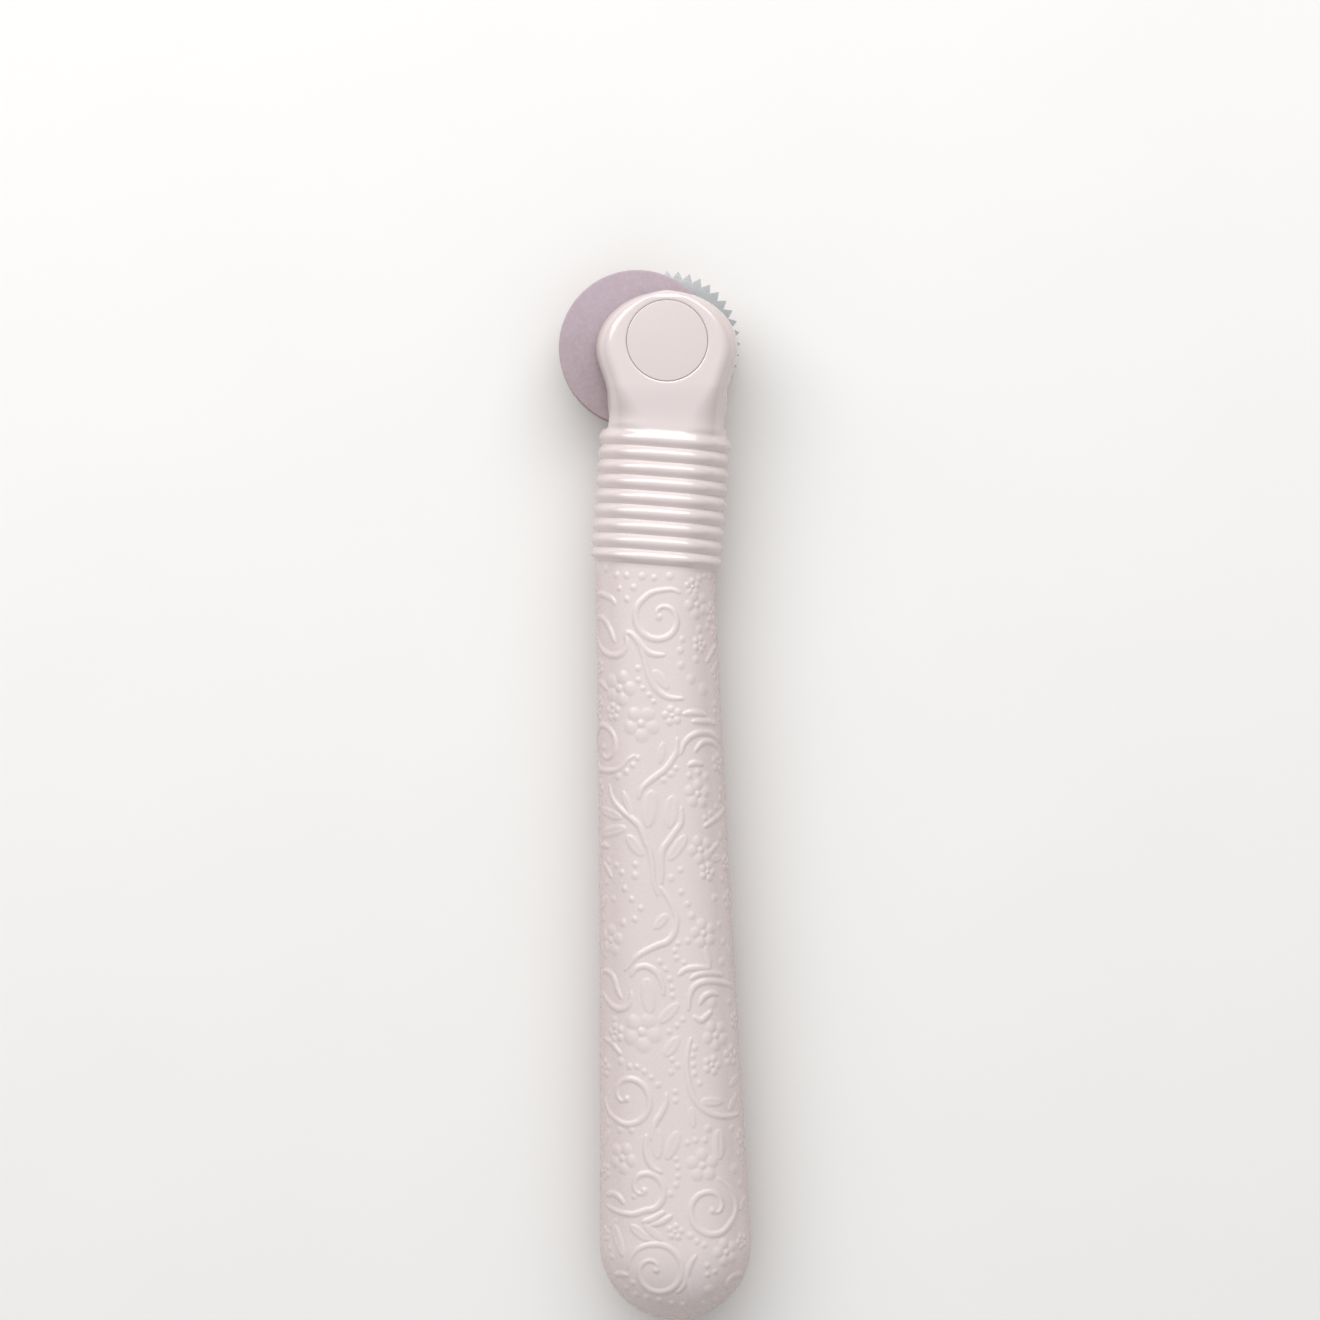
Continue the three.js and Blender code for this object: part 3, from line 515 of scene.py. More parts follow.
class Ornament:
    """Heights that rise from the grip, on points given across the grip and down from its top."""

    def __init__(self, across, down):
        self.across = across
        self.down = down
        self.height = np.zeros_like(across)

    def near(self, points, reach):
        """Which of the points lie in the box round a motif."""
        low = np.min(points, axis=0) - reach
        high = np.max(points, axis=0) + reach
        inside = (self.across > low[0]) & (self.across < high[0])
        return np.nonzero(inside & (self.down > low[1]) & (self.down < high[1]))

    def lift(self, where, height):
        self.height[where] = np.maximum(self.height[where], height)

    def stem(self, points):
        """Rounded ridge along a curve, thinner towards its ends."""
        curve = smooth_curve(points)
        where = self.near(curve, STEM_HALF_WIDTH)
        apart = np.hypot(self.across[where][:, None] - curve[:, 0], self.down[where][:, None] - curve[:, 1])
        nearest = np.argmin(apart, axis=1)
        thickness = lerp(STEM_TAPER, 1, np.sin(math.pi * nearest / (len(curve) - 1)) ** 0.5)
        offset = apart[np.arange(len(nearest)), nearest] / (STEM_HALF_WIDTH * thickness)
        self.lift(where, dome(offset, DOME_SOFTNESS) * thickness**0.5)

    def bead(self, across, down, radius, height=1):
        where = self.near(np.array([[across, down]]), radius)
        offset = np.hypot(self.across[where] - across, self.down[where] - down) / radius
        self.lift(where, height * dome(offset, DOME_SOFTNESS))

    def scroll(self, across, down, turns, lead):
        """Stem that winds round a centre, slowly at first and then quickly, to a bead."""
        last_across, last_down = lead[-1]
        radius = math.hypot(last_across - across, last_down - down)
        start = math.atan2(down - last_down, last_across - across)
        share = np.linspace(0, 1, round(abs(turns) * SCROLL_KNOTS))[1:]
        angle = start + 2 * math.pi * turns * share
        reach = radius * (1 - share**SCROLL_TIGHTENING)
        winding = zip(across + reach * np.cos(angle), down - reach * np.sin(angle))
        self.stem([*lead, *winding])
        self.bead(across, down, SCROLL_EYE)

    def leaf(self, foot_across, foot_down, tip_across, tip_down, half_width):
        """Pointed low dome with a sunk vein."""
        foot = np.array([foot_across, foot_down])
        tip = np.array([tip_across, tip_down])
        length = np.linalg.norm(tip - foot)
        ahead = (tip - foot) / length
        where = self.near(np.array([foot, tip]), half_width)
        from_foot = np.stack([self.across[where], self.down[where]], axis=1) - foot
        share = np.clip(from_foot @ ahead / length, 0, 1)
        sideways = from_foot @ np.array([-ahead[1], ahead[0]])
        edge = half_width * np.sqrt(4 * share * (1 - share)) * lerp(1, LEAF_TIP, share) + LEAST_EDGE
        vein = 1 - LEAF_CREASE * np.exp(-((sideways / LEAF_VEIN) ** 2))
        self.lift(where, LEAF_HEIGHT * dome(sideways / edge, LEAF_SOFTNESS) * vein)

    def flower(self, across, down, radius, turn):
        """Ring of round petals about an eye."""
        reach = PETAL_PLACE * radius
        for petal in range(PETALS):
            angle = math.radians(turn + 360 * petal / PETALS)
            x = across + reach * math.cos(angle)
            y = down - reach * math.sin(angle)
            self.bead(x, y, PETAL_SIZE * radius, PETAL_HEIGHT)
        self.bead(across, down, FLOWER_EYE * radius)


def dome(offset, softness):
    """Rounded rise, one in the middle and nought from an offset of one."""
    return np.maximum(0, 1 - offset**2) ** softness


def smooth_curve(points):
    """Closely spaced points on a curve that passes through each given point."""
    knots = np.array([points[0], *points, points[-1]], float)
    pieces = []
    for before, start, end, after in zip(knots, knots[1:], knots[2:], knots[3:]):
        steps = max(2, round(np.linalg.norm(end - start) / CURVE_STEP))
        share = np.linspace(0, 1, steps, endpoint=False)[:, None]
        pieces.append(0.5 * (
            2 * start
            + (end - before) * share
            + (2 * before - 5 * start + 4 * end - after) * share**2
            + (3 * start - before - 3 * end + after) * share**3
        ))
    return np.concatenate([*pieces, knots[-1:]])


def ornament_height(across, down):
    """Height of the whole ornament, nought to one."""
    ornament = Ornament(across, down)
    for scroll in SCROLLS:
        ornament.scroll(*scroll)
    for points in STEMS:
        ornament.stem(points)
    for flower in FLOWERS:
        ornament.flower(*flower)
    for leaf in LEAVES:
        ornament.leaf(*leaf)
    for bead in BEADS:
        ornament.bead(*bead, BEAD_HEIGHT)
    return ornament.height


# Meshes

def added(name, data):
    """New object in the scene."""
    thing = bpy.data.objects.new(name, data)
    bpy.context.scene.collection.objects.link(thing)
    return thing


def mesh_object(name, points, faces):
    """Closed mesh with its doubled points merged and its faces turned outwards."""
    mesh = bpy.data.meshes.new(name)
    mesh.from_pydata(points.reshape(-1, 3).tolist(), [], faces)
    work = bmesh.new()
    work.from_mesh(mesh)
    bmesh.ops.remove_doubles(work, verts=work.verts, dist=MERGE_DISTANCE)
    bmesh.ops.recalc_face_normals(work, faces=work.faces)
    work.to_mesh(mesh)
    work.free()
    return added(name, mesh)


def loft(name, rings, closed=False):
    """Closed surface through rings of equally many points; it either runs round or has two ends."""
    bands, count = rings.shape[:2]
    index = np.arange(bands * count).reshape(bands, count)
    here = index if closed else index[:-1]
    after = np.roll(index, -1, axis=0) if closed else index[1:]
    quads = np.stack([here, np.roll(here, -1, 1), np.roll(after, -1, 1), after], axis=-1)
    faces = quads.reshape(-1, 4).tolist()
    if not closed:
        faces += across_ring(index[0].tolist()) + across_ring(index[-1].tolist())
    return mesh_object(name, rings, faces)


def across_ring(ring):
    """Strips that close a ring from one side to the other."""
    strips = [(ring[i], ring[i + 1], ring[-2 - i], ring[-1 - i]) for i in range((len(ring) - 1) // 2)]
    return [list(dict.fromkeys(strip)) for strip in strips]


def swept(name, profile, angles, closed=True, lift=None):
    """Profile of (radius, level) points carried round the axle."""
    radius, level = np.array(profile, float).T
    rise = np.zeros_like(angles) if lift is None else lift
    rings = np.stack([
        np.cos(angles)[:, None] * radius,
        np.sin(angles)[:, None] * radius,
        rise[:, None] + level,
    ], axis=-1)
    return loft(name, rings, closed)


def full_turn(steps=ROUND_STEPS):
    return np.linspace(0, 2 * math.pi, steps, endpoint=False)


def turned(name, profile):
    return swept(name, profile, full_turn())


def rod(name, radius, low, high, x=0, y=0):
    bar = turned(name, [(0, low), (radius, low), (radius, high), (0, high)])
    bar.data.transform(Matrix.Translation((x, y, 0)))
    return bar


def block(name, low, high):
    x0, y0, z0 = low
    x1, y1, z1 = high
    ring = [(x0, y0), (x1, y0), (x1, y1), (x0, y1)]
    return loft(name, np.array([[(x, y, z) for x, y in ring] for z in (z0, z1)], float))


def filleted(points):
    """Closed profile through (radius, level, rounding) corners."""
    outline = []
    for i, (x, y, rounding) in enumerate(points):
        corner = Vector((x, y))
        to_last = (Vector(points[i - 1][:2]) - corner).normalized()
        to_next = (Vector(points[(i + 1) % len(points)][:2]) - corner).normalized()
        if rounding == 0:
            outline.append(corner)
            continue
        half = to_last.angle(to_next) / 2
        centre = corner + (to_last + to_next).normalized() * rounding / math.sin(half)
        first = corner + to_last * rounding / math.tan(half) - centre
        last = corner + to_next * rounding / math.tan(half) - centre
        for share in np.linspace(0, 1, FILLET_STEPS):
            outline.append(centre + first.slerp(last, share) * rounding)
    return [(point.x, point.y) for point in outline]


def combine(target, operation, *tools):
    """Cuts tools out of a piece or joins them to it, and deletes them."""
    for tool in tools:
        modifier = target.modifiers.new(tool.name, "BOOLEAN")
        modifier.operation = operation
        modifier.solver = "MANIFOLD"
        modifier.object = tool
    shaped = target.evaluated_get(bpy.context.evaluated_depsgraph_get())
    target.data = bpy.data.meshes.new_from_object(shaped)
    target.modifiers.clear()
    for tool in tools:
        bpy.data.objects.remove(tool)
    return target


def settle(piece, node, body, material):
    """Sets a finished piece into the frame in place of its solid."""
    piece.data.transform(Matrix.Translation(AXLE) @ Matrix.Scale(MM, 4))
    piece.data.shade_smooth()
    piece.data.set_sharp_from_angle(angle=SHARP_ANGLE)
    piece.data.materials.clear()
    piece.data.materials.append(material)
    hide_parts(node)
    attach(piece, body)


# Shells

def edge_loss(height, rounding):
    """How far a rounded edge falls back at a height above it."""
    into = np.clip(rounding - height, 0, rounding)
    return rounding - np.sqrt(rounding**2 - into**2)


def shell_surface():
    """Rings of points over the front half of the handle, with the ornament raised on the grip."""
    levels = handle_levels()
    across, up, arc = half_sections(levels)
    surface = placed(levels, across, up)
    over = np.gradient(surface, axis=1)
    down = np.gradient(surface, axis=0)
    outward = np.cross(over, down)
    outward /= np.linalg.norm(outward, axis=2, keepdims=True)
    outward *= np.sign(outward[:, outward.shape[1] // 2, 2])[:, None, None]
    from_top = GRIP_TOP - surface[..., 1]
    to_end = surface[..., 1] - BUTT_END
    below_ribs = smoothstep(RIBS_FOOT - levels, 0, RIB_LAND)[:, None]
    ground = GROUND * below_ribs * smoothstep(to_end, 0, PLAIN_END)
    shown = below_ribs * smoothstep(to_end, PLAIN_END / 2, PLAIN_END)
    height = RELIEF * shown * ornament_height(arc, from_top)
    in_fork = smoothstep(surface[..., 1], SLOT_FLOOR, SLOT_FLOOR + FORK_EDGE)
    fork = edge_loss(np.abs(up - SLOT_HALF), FORK_EDGE) * in_fork
    seam = edge_loss(up, SEAM_EDGE)
    surface += outward * (height - ground - fork - seam)[..., None]
    surface[..., 2] = np.maximum(surface[..., 2], SEAM / 2)
    surface[:, [0, -1], 2] = SEAM / 2
    return surface


def cavity():
    """Hollow of both shells, from the solid neck to the butt."""
    levels = np.linspace(RIBS_TOP - NECK_ROOT, BUTT_END + BUTT_WALL, CAVITY_STEPS)
    width, depth, rounding, rounding_depth = (size[:, None] for size in section_at(levels))
    wall = (SHELL_WALL + rib_at(levels))[:, None]
    angle = full_turn()
    corner = np.maximum(LEAST_CORNER, rounding - wall)
    corner_depth = np.maximum(LEAST_CORNER, rounding_depth - wall)
    across = np.sign(np.cos(angle)) * (width - rounding) + corner * np.cos(angle)
    up = np.sign(np.sin(angle)) * (depth - rounding_depth) + corner_depth * np.sin(angle)
    return loft("cavity", placed(levels, across, up))


def recess(side):
    """Seat of a cap, with a rounded mouth."""
    mouth = RECESS_RADIUS + RECESS_EDGE
    bend = np.linspace(0, math.pi / 2, FILLET_STEPS)
    flare = [
        (mouth - RECESS_EDGE * math.cos(a), HALF_DEPTH - RECESS_EDGE_DEPTH * (1 - math.sin(a))) for a in bend
    ]
    profile = [(0, RECESS_FLOOR), (RECESS_RADIUS, RECESS_FLOOR), *flare]
    profile += [(mouth, HALF_DEPTH + RECESS_EDGE), (0, HALF_DEPTH + RECESS_EDGE)]
    return turned("recess", [(radius, side * level) for radius, level in profile])


def shell(name, surface, side, pocket_radius):
    """One half of the handle; the front half has the pegs and the rear half their sockets."""
    far = HEAD_TOP - BUTT_END
    piece = loft(name, surface * np.array([1, 1, side]))
    combine(
        piece,
        "DIFFERENCE",
        cavity(),
        block("slot", (-far, SLOT_FLOOR, -SLOT_HALF), (far, far, SLOT_HALF)),
        rod("bore", PIN_BORE, -HALF_DEPTH, HALF_DEPTH),
        rod("pocket", pocket_radius, *sorted([side * POCKET_FLOOR, side * HALF_DEPTH])),
        recess(side),
    )
    socket_radius = PEG_RADIUS + PEG_GAP
    for level in np.linspace(GRIP_TOP, BUTT_TOP, PEG_COUNT + 2)[1:-1]:
        x = float(offset_at(level))
        reach = float(section_at(level)[1]) - SHELL_WALL / 2
        low, high = sorted([side * SEAM / 2, side * reach])
        combine(piece, "UNION", rod("post", socket_radius + PEG_POST_WALL, low, high, x, level))
        if side > 0:
            combine(piece, "UNION", rod("peg", PEG_RADIUS, -PEG_LENGTH, SEAM, x, level))
        else:
            socket = rod("socket", socket_radius, -PEG_LENGTH - POCKET_GAP, SEAM, x, level)
            combine(piece, "DIFFERENCE", socket)
    return piece


# Pieces on the axle

def cap(name, side):
    """Disc that closes the recess to a fine line."""
    radius = RECESS_RADIUS - CAP_LINE
    profile = filleted([
        (0, HALF_DEPTH - CAP_THICKNESS, 0),
        (radius, HALF_DEPTH - CAP_THICKNESS, SMALL_EDGE),
        (radius, HALF_DEPTH, CAP_EDGE),
        (0, HALF_DEPTH, 0),
    ])
    return turned(name, [(radius, side * level) for radius, level in profile])


def guard():
    """Hood of two round plates joined by a rim on the far side from the axle."""
    far = 3 * GUARD_RADIUS
    piece = turned("wheel_guard_hood", filleted([
        (0, -GUARD_HALF, 0),
        (GUARD_RADIUS, -GUARD_HALF, GUARD_EDGE),
        (GUARD_RADIUS, GUARD_HALF, GUARD_EDGE),
        (0, GUARD_HALF, 0),
    ]))
    piece.data.transform(Matrix.Translation((GUARD_OFFSET, 0, 0)))
    combine(
        piece,
        "DIFFERENCE",
        rod("inside", GUARD_RADIUS - GUARD_RIM, -GUARD_INNER, GUARD_INNER, GUARD_OFFSET),
        rod("wheel_room", WHEEL_RADIUS + SWING_GAP, -GUARD_INNER, GUARD_INNER),
        block("mouth", (-far, -far, -GUARD_INNER), (GUARD_RIM_START, far, GUARD_INNER)),
        rod("bore", PIN_BORE, -far, far),
    )
    piece.data.transform(Matrix.Rotation(math.pi + math.radians(GUARD_REST_TILT), 4, "Z"))
    return piece


def wheel():
    """Serrated disc whose rim is ground thin towards the points of its teeth."""
    bore = HUB_NECK_RADIUS + MOULD_GAP
    angles = full_turn(2 * TOOTH_COUNT * TOOTH_STEPS)
    place = (angles * TOOTH_COUNT / (2 * math.pi)) % 1
    outline = WHEEL_RADIUS - TOOTH_DEPTH * (1 - np.abs(2 * place - 1))
    root = WHEEL_RADIUS - TOOTH_DEPTH - TOOTH_BEVEL
    thin = lerp(WHEEL_HALF, TOOTH_EDGE, (outline - root) / (WHEEL_RADIUS - root))
    even = np.ones_like(angles)
    section = [(bore * even, -WHEEL_HALF * even), (root * even, -WHEEL_HALF * even), (outline, -thin)]
    section += [(radius, -level) for radius, level in reversed(section)]
    rings = np.array([
        np.stack([radius * np.cos(angles), radius * np.sin(angles), level], axis=-1)
        for radius, level in section
    ])
    return loft("steel_tracing_wheel", rings.transpose(1, 0, 2), closed=True)


def hub():
    """Spool moulded through the wheel's bore."""
    seat = WHEEL_HALF + MOULD_GAP
    return turned("nylon_wheel_hub", filleted([
        (PIN_BORE, -HUB_HALF, SMALL_EDGE),
        (HUB_RADIUS, -HUB_HALF, SMALL_EDGE),
        (HUB_RADIUS, -seat, SMALL_EDGE),
        (HUB_NECK_RADIUS, -seat, 0),
        (HUB_NECK_RADIUS, seat, 0),
        (HUB_RADIUS, seat, SMALL_EDGE),
        (HUB_RADIUS, HUB_HALF, SMALL_EDGE),
        (PIN_BORE, HUB_HALF, SMALL_EDGE),
    ]))


def pin():
    """Headed pin with a groove for its clip."""
    groove_radius = PIN_RADIUS - PIN_GROOVE_DEPTH
    head = pin_high.z - PIN_HEAD_THICKNESS
    return turned("steel_axle_pin", filleted([
        (0, pin_low.z, 0),
        (PIN_RADIUS, pin_low.z, PIN_EDGE),
        (PIN_RADIUS, clip_low.z - SEAT_GAP, 0),
        (groove_radius, clip_low.z - SEAT_GAP, 0),
        (groove_radius, clip_high.z + SEAT_GAP, 0),
        (PIN_RADIUS, clip_high.z + SEAT_GAP, 0),
        (PIN_RADIUS, head, 0),
        (PIN_HEAD_RADIUS, head, SMALL_EDGE),
        (PIN_HEAD_RADIUS, pin_high.z, PIN_EDGE),
        (0, pin_high.z, 0),
    ]))


def clip():
    """Open ring that springs into the pin's groove."""
    inner = PIN_RADIUS - PIN_GROOVE_DEPTH + RUNNING_GAP
    opening = math.asin(inner * CLIP_MOUTH / CLIP_RADIUS)
    return swept("spring_axle_clip", filleted([
        (inner, clip_low.z, SMALL_EDGE),
        (CLIP_RADIUS, clip_low.z, SMALL_EDGE),
        (CLIP_RADIUS, clip_high.z, SMALL_EDGE),
        (inner, clip_high.z, SMALL_EDGE),
    ]), np.linspace(opening, 2 * math.pi - opening, ROUND_STEPS), closed=False)


def wave_washer(name, middle):
    """Thin ring that rises and falls round the axle."""
    half = WASHER_SHEET / 2
    wave = (washer_high.z - washer_low.z) / 2 - half
    angles = full_turn()
    profile = [(WASHER_BORE, -half), (WASHER_OUTER, -half), (WASHER_OUTER, half), (WASHER_BORE, half)]
    return swept(name, profile, angles, lift=middle + wave * np.sin(WAVE_COUNT * angles))


# Materials

NOISE_LOW = 0.3
NOISE_HIGH = 0.7


class Finish:
    """Node material on a Principled surface, with textures that stay fixed to the piece."""

    def __init__(self, name, **surface):
        self.material = bpy.data.materials.new(name)
        self.material.use_nodes = True
        self.tree = self.material.node_tree
        self.surface = self.tree.nodes["Principled BSDF"]
        self.place = self.add("ShaderNodeTexCoord").outputs["Object"]
        for socket, value in surface.items():
            self.surface.inputs[socket.replace("_", " ")].default_value = value

    def add(self, kind, settings=None, **sockets):
        node = self.tree.nodes.new(kind)
        for setting, value in (settings or {}).items():
            setattr(node, setting, value)
        for socket, value in sockets.items():
            self.feed(node.inputs[socket.replace("_", " ")], value)
        return node

    def feed(self, socket, value):
        if isinstance(value, bpy.types.NodeSocket):
            self.tree.links.new(value, socket)
        else:
            socket.default_value = value

    def noise(self, size, detail=3, roughness=0.5):
        """Cloudy pattern with patches of about a size in millimetres."""
        texture = self.add(
            "ShaderNodeTexNoise", Vector=self.place, Scale=1 / (size * MM), Detail=detail, Roughness=roughness
        )
        return texture.outputs["Fac"]

    def spread(self, value, low, high, to_low, to_high):
        """Value carried over from one range to another."""
        mapped = self.add(
            "ShaderNodeMapRange", Value=value, From_Min=low, From_Max=high, To_Min=to_low, To_Max=to_high
        )
        return mapped.outputs["Result"]

    def uneven(self, size, low, high, detail=3, roughness=0.5):
        """Cloudy value between a low and a high."""
        return self.spread(self.noise(size, detail, roughness), NOISE_LOW, NOISE_HIGH, low, high)

    def maths(self, operation, first, second):
        node = self.add("ShaderNodeMath", {"operation": operation})
        self.feed(node.inputs[0], first)
        self.feed(node.inputs[1], second)
        return node.outputs[0]

    def sum(self, first, second):
        return self.maths("ADD", first, second)

    def times(self, first, second):
        return self.maths("MULTIPLY", first, second)

    def blend(self, share, first, second):
        node = self.add("ShaderNodeMix", {"data_type": "RGBA"})
        self.feed(node.inputs["Factor"], share)
        for socket, value in (("A", first), ("B", second)):
            self.feed([s for s in node.inputs if s.name == socket and s.type == "RGBA"][0], value)
        return [s for s in node.outputs if s.type == "RGBA"][0]

    def level(self):
        """Height up the tool, along its length, in millimetres from the axle."""
        y = self.add("ShaderNodeSeparateXYZ", Vector=self.place).outputs["Y"]
        return self.spread(y, AXLE.y - 1, AXLE.y + 1, -1 / MM, 1 / MM)

    def from_axle(self):
        """Distance from the axle in millimetres."""
        moved = self.add("ShaderNodeVectorMath", {"operation": "SUBTRACT"})
        self.feed(moved.inputs[0], self.place)
        moved.inputs[1].default_value = AXLE
        flat = self.add("ShaderNodeVectorMath", {"operation": "MULTIPLY"})
        self.feed(flat.inputs[0], moved.outputs[0])
        flat.inputs[1].default_value = (1 / MM, 1 / MM, 0)
        length = self.add("ShaderNodeVectorMath", {"operation": "LENGTH"})
        self.feed(length.inputs[0], flat.outputs[0])
        return length.outputs["Value"]

    def colour(self, value):
        self.feed(self.surface.inputs["Base Color"], value)

    def roughness(self, value):
        self.feed(self.surface.inputs["Roughness"], value)

    def coat(self, value):
        self.feed(self.surface.inputs["Coat Weight"], value)

    def grain(self, height, depth):
        """Fine unevenness of a depth in millimetres."""
        bump = self.add("ShaderNodeBump", Height=height, Distance=depth * MM, Strength=1)
        self.feed(self.surface.inputs["Normal"], bump.outputs["Normal"])


def tint(red, green, blue):
    """Colour written as on a screen, nought to 255."""
    def linear(value):
        value /= 255
        return value / 12.92 if value <= 0.04045 else ((value + 0.055) / 1.055) ** 2.4
    return (linear(red), linear(green), linear(blue), 1)


LILAC_LIGHT = tint(232, 220, 219)
LILAC_SHADE = tint(227, 214, 213)
CAP_LIGHT = tint(229, 217, 216)
CAP_SHADE = tint(225, 212, 211)
# The mauve tones are the frosted plastic's own colour, set somewhat darker as painted shade; they are the
# ends of both its mottling and the painted light and shade down the guard.
MAUVE_LIGHT = tint(190, 174, 184)
MAUVE_SHADE = tint(168, 151, 154)
NYLON_LIGHT = tint(238, 235, 229)
NYLON_SHADE = tint(228, 224, 216)
STEEL_LIGHT = tint(206, 207, 209)
STEEL_SHADE = tint(176, 177, 180)
PLASTIC_DEPTH = (1, 0.75, 0.7)
MOULDED_GLOSS = 0.85
POLISH = 0.8
GLOSSY = 0.12
SATIN = 0.27
FINISH_CHANGE = 1
MARK_SHINE = 0.07
MARK_DULL = 0.09


def handle_plastic():
    """Pale lilac plastic, glossy on head and ribs and satin on the embossed grip."""
    finish = Finish(
        "handle_plastic", IOR=1.54, Specular_IOR_Level=MOULDED_GLOSS, Coat_Roughness=0.4, Coat_IOR=1.6,
        Subsurface_Weight=0.12, Subsurface_Radius=PLASTIC_DEPTH, Subsurface_Scale=MM,
    )
    finish.colour(finish.blend(finish.noise(size=14), LILAC_SHADE, LILAC_LIGHT))
    half_change = FINISH_CHANGE / 2
    on_grip = finish.spread(finish.level(), GRIP_TOP + half_change, GRIP_TOP - half_change, 0, 1)
    satin = finish.spread(on_grip, 0, 1, GLOSSY, SATIN)
    finish.coat(finish.spread(on_grip, 0, 1, POLISH, 0))
    finish.roughness(finish.sum(satin, finish.uneven(size=1.1, low=-0.03, high=0.03)))
    grain = finish.noise(size=0.16, detail=2, roughness=0.6)
    finish.grain(finish.times(grain, on_grip), depth=0.012)
    return finish.material


def cap_plastic():
    """The same plastic, moulded smooth."""
    finish = Finish(
        "cap_plastic", IOR=1.54, Specular_IOR_Level=MOULDED_GLOSS,
        Subsurface_Weight=0.12, Subsurface_Radius=PLASTIC_DEPTH, Subsurface_Scale=MM,
    )
    finish.colour(finish.blend(finish.noise(size=6), CAP_SHADE, CAP_LIGHT))
    finish.roughness(finish.uneven(size=4, low=0.17, high=0.2))
    finish.grain(finish.noise(size=0.2, detail=2), depth=0.002)
    return finish.material


def guard_plastic():
    """Frosted mauve plastic, mottled, with painted light and shade: lighter towards the top, darker towards
    the foot.
    """
    finish = Finish(
        "guard_plastic", IOR=1.49,
        Subsurface_Weight=0.35, Subsurface_Radius=PLASTIC_DEPTH, Subsurface_Scale=1.5 * MM,
    )
    # Painted light and shade: the colour runs from the shade tone at the foot of the guard to the light tone
    # at its top. The speckle below is the plastic's own mottling.
    painted_light_towards_top = finish.spread(finish.level(), -GUARD_RADIUS, GUARD_RADIUS / 2, to_low=0.1, to_high=0.8)
    speckle = finish.uneven(size=0.6, low=-0.3, high=0.3, detail=5, roughness=0.7)
    finish.colour(finish.blend(finish.sum(painted_light_towards_top, speckle), MAUVE_SHADE, MAUVE_LIGHT))
    finish.roughness(finish.uneven(size=0.5, low=0.5, high=0.62))
    finish.grain(finish.noise(size=0.14, roughness=0.7), depth=0.02)
    return finish.material


def hub_nylon():
    """Off-white nylon."""
    finish = Finish(
        "hub_nylon", IOR=1.53, Subsurface_Weight=0.3, Subsurface_Radius=PLASTIC_DEPTH, Subsurface_Scale=MM
    )
    finish.colour(finish.blend(finish.noise(size=1.2), NYLON_SHADE, NYLON_LIGHT))
    finish.roughness(finish.uneven(size=0.4, low=0.4, high=0.52))
    finish.grain(finish.noise(size=0.12, detail=2), depth=0.008)
    return finish.material


def steel(name, ring, rough):
    """Bright steel with fine turning marks round the axle."""
    finish = Finish(name, Metallic=1)
    texture = finish.add(
        "ShaderNodeTexNoise", {"noise_dimensions": "1D"}, W=finish.from_axle(), Scale=1 / ring, Detail=3
    )
    marks = texture.outputs["Fac"]
    finish.colour(finish.blend(finish.noise(size=2.5, detail=4), STEEL_SHADE, STEEL_LIGHT))
    finish.roughness(finish.spread(marks, NOISE_LOW, NOISE_HIGH, rough - MARK_SHINE, rough + MARK_DULL))
    finish.grain(marks, depth=0.003)
    return finish.material


# Making the pieces

plastic = handle_plastic()
cap_finish = cap_plastic()
spring = steel("spring_steel", ring=0.08, rough=0.36)
washer_middle = (washer_low.z + washer_high.z) / 2
outside = shell_surface()

for place, side, held_radius in (("front", 1, PIN_HEAD_RADIUS), ("rear", -1, CLIP_RADIUS)):
    settle(
        shell(f"{place}_shell_moulding", outside, side, held_radius + POCKET_GAP),
        f"{place}_shell", "handle", plastic,
    )
    settle(cap(f"{place}_cap_disc", side), f"{place}_axle_cap", "handle", cap_finish)
    settle(
        wave_washer(f"{place}_spring_washer", side * washer_middle),
        f"{place}_wave_washer", "handle", spring,
    )
settle(guard(), "wheel_guard", "guard", guard_plastic())
settle(wheel(), "tracing_wheel", "wheel", steel("wheel_steel", ring=0.06, rough=0.3))
settle(hub(), "wheel_hub", "wheel", hub_nylon())
settle(pin(), "axle_pin", "handle", steel("pin_steel", ring=0.1, rough=0.28))
settle(clip(), "axle_clip", "handle", spring)


# Stage, light and camera

FLOOR_SIZE = 6
FLOOR_LIGHT = tint(246, 245, 243)
FLOOR_SHADE = tint(243, 242, 240)
FLOOR_BOUNCE = tint(172, 146, 136)
SKY_EDGE = 0.22
SKY_TOP = 0.67
PICTURE_HEIGHT = 0.18
PICTURE_CENTRE = (0.0006, 0.0184)
CAMERA_DISTANCE = 0.65
SENSOR = 36
KEY_FROM = Vector((-0.15, 0.68, 0.7))
KEY_DISTANCE = 0.7
KEY_WIDTH = 1.3
KEY_HEIGHT = 0.5
KEY_POWER = 5.2


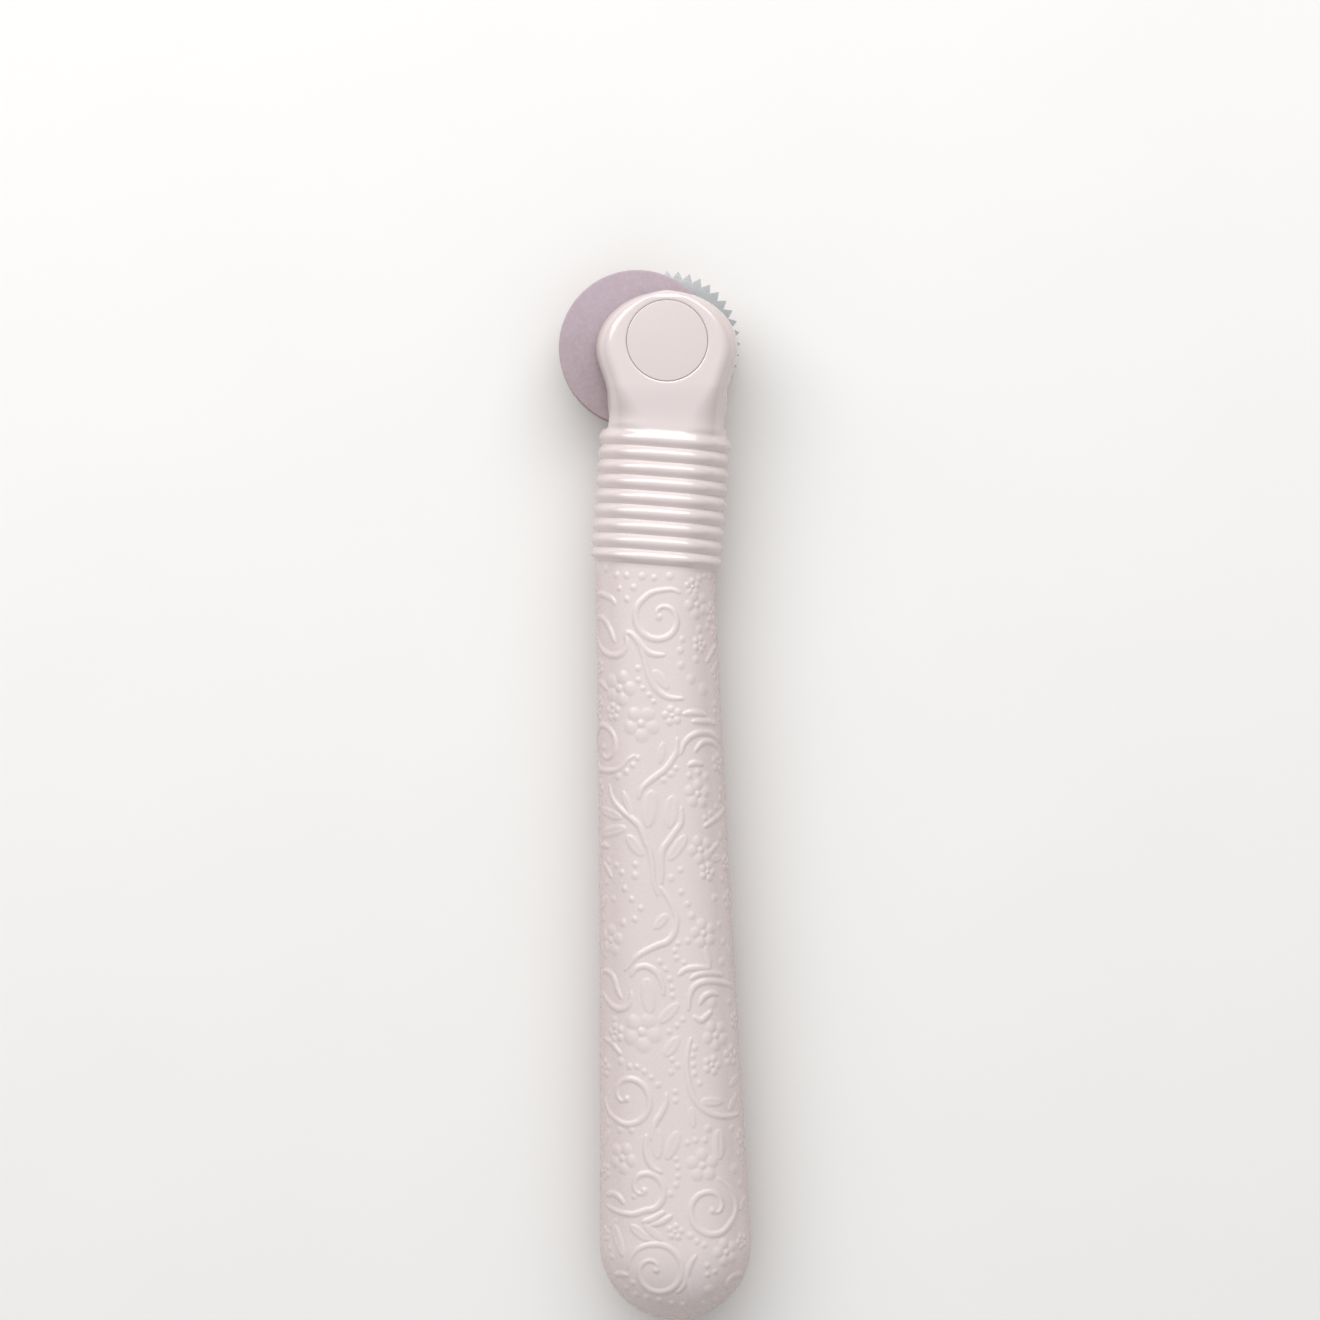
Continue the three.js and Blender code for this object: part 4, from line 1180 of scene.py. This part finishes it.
def floor():
    """Pale paper that throws a softer, warmer light on the object than it shows the camera."""
    half = FLOOR_SIZE / 2
    square = [(-half, -half, 0), (half, -half, 0), (half, half, 0), (-half, half, 0)]
    mesh = bpy.data.meshes.new("floor")
    mesh.from_pydata(square, [], [(0, 1, 2, 3)])
    plane = added("floor", mesh)
    finish = Finish("floor_paper", Roughness=0.9, Specular_IOR_Level=0.1)
    pale = finish.blend(finish.noise(size=30), FLOOR_SHADE, FLOOR_LIGHT)
    ray = finish.add("ShaderNodeLightPath").outputs
    seen = finish.sum(finish.sum(ray["Is Camera Ray"], ray["Is Glossy Ray"]), ray["Is Transmission Ray"])
    finish.colour(finish.blend(seen, FLOOR_BOUNCE, pale))
    mesh.materials.append(finish.material)


def key_light():
    """Broad soft lamp above the head of the tool."""
    light = bpy.data.lights.new("key", "AREA")
    light.shape = "RECTANGLE"
    light.size = KEY_WIDTH
    light.size_y = KEY_HEIGHT
    light.energy = KEY_POWER
    lamp = added("key", light)
    lamp.location = Vector((*PICTURE_CENTRE, 0)) + KEY_FROM.normalized() * KEY_DISTANCE
    lamp.rotation_euler = KEY_FROM.to_track_quat("Z", "Y").to_euler()


def camera():
    """Camera that looks straight down on the tool."""
    lens = bpy.data.cameras.new("camera")
    lens.sensor_width = SENSOR
    lens.lens = SENSOR * CAMERA_DISTANCE / PICTURE_HEIGHT
    view = added("camera", lens)
    view.location = (*PICTURE_CENTRE, AXLE.z + CAMERA_DISTANCE)
    bpy.context.scene.camera = view


def world():
    """White sky that is brighter overhead."""
    sky = bpy.data.worlds.new("studio")
    sky.use_nodes = True
    nodes = sky.node_tree.nodes
    links = sky.node_tree.links
    place = nodes.new("ShaderNodeTexCoord")
    parts = nodes.new("ShaderNodeSeparateXYZ")
    strength = nodes.new("ShaderNodeMapRange")
    strength.inputs["To Min"].default_value = SKY_EDGE
    strength.inputs["To Max"].default_value = SKY_TOP
    background = nodes["Background"]
    background.inputs["Color"].default_value = (1, 1, 1, 1)
    links.new(place.outputs["Generated"], parts.inputs["Vector"])
    links.new(parts.outputs["Z"], strength.inputs["Value"])
    links.new(strength.outputs["Result"], background.inputs["Strength"])
    bpy.context.scene.world = sky


floor()
key_light()
world()
camera()
bpy.context.scene.view_settings.view_transform = "Standard"
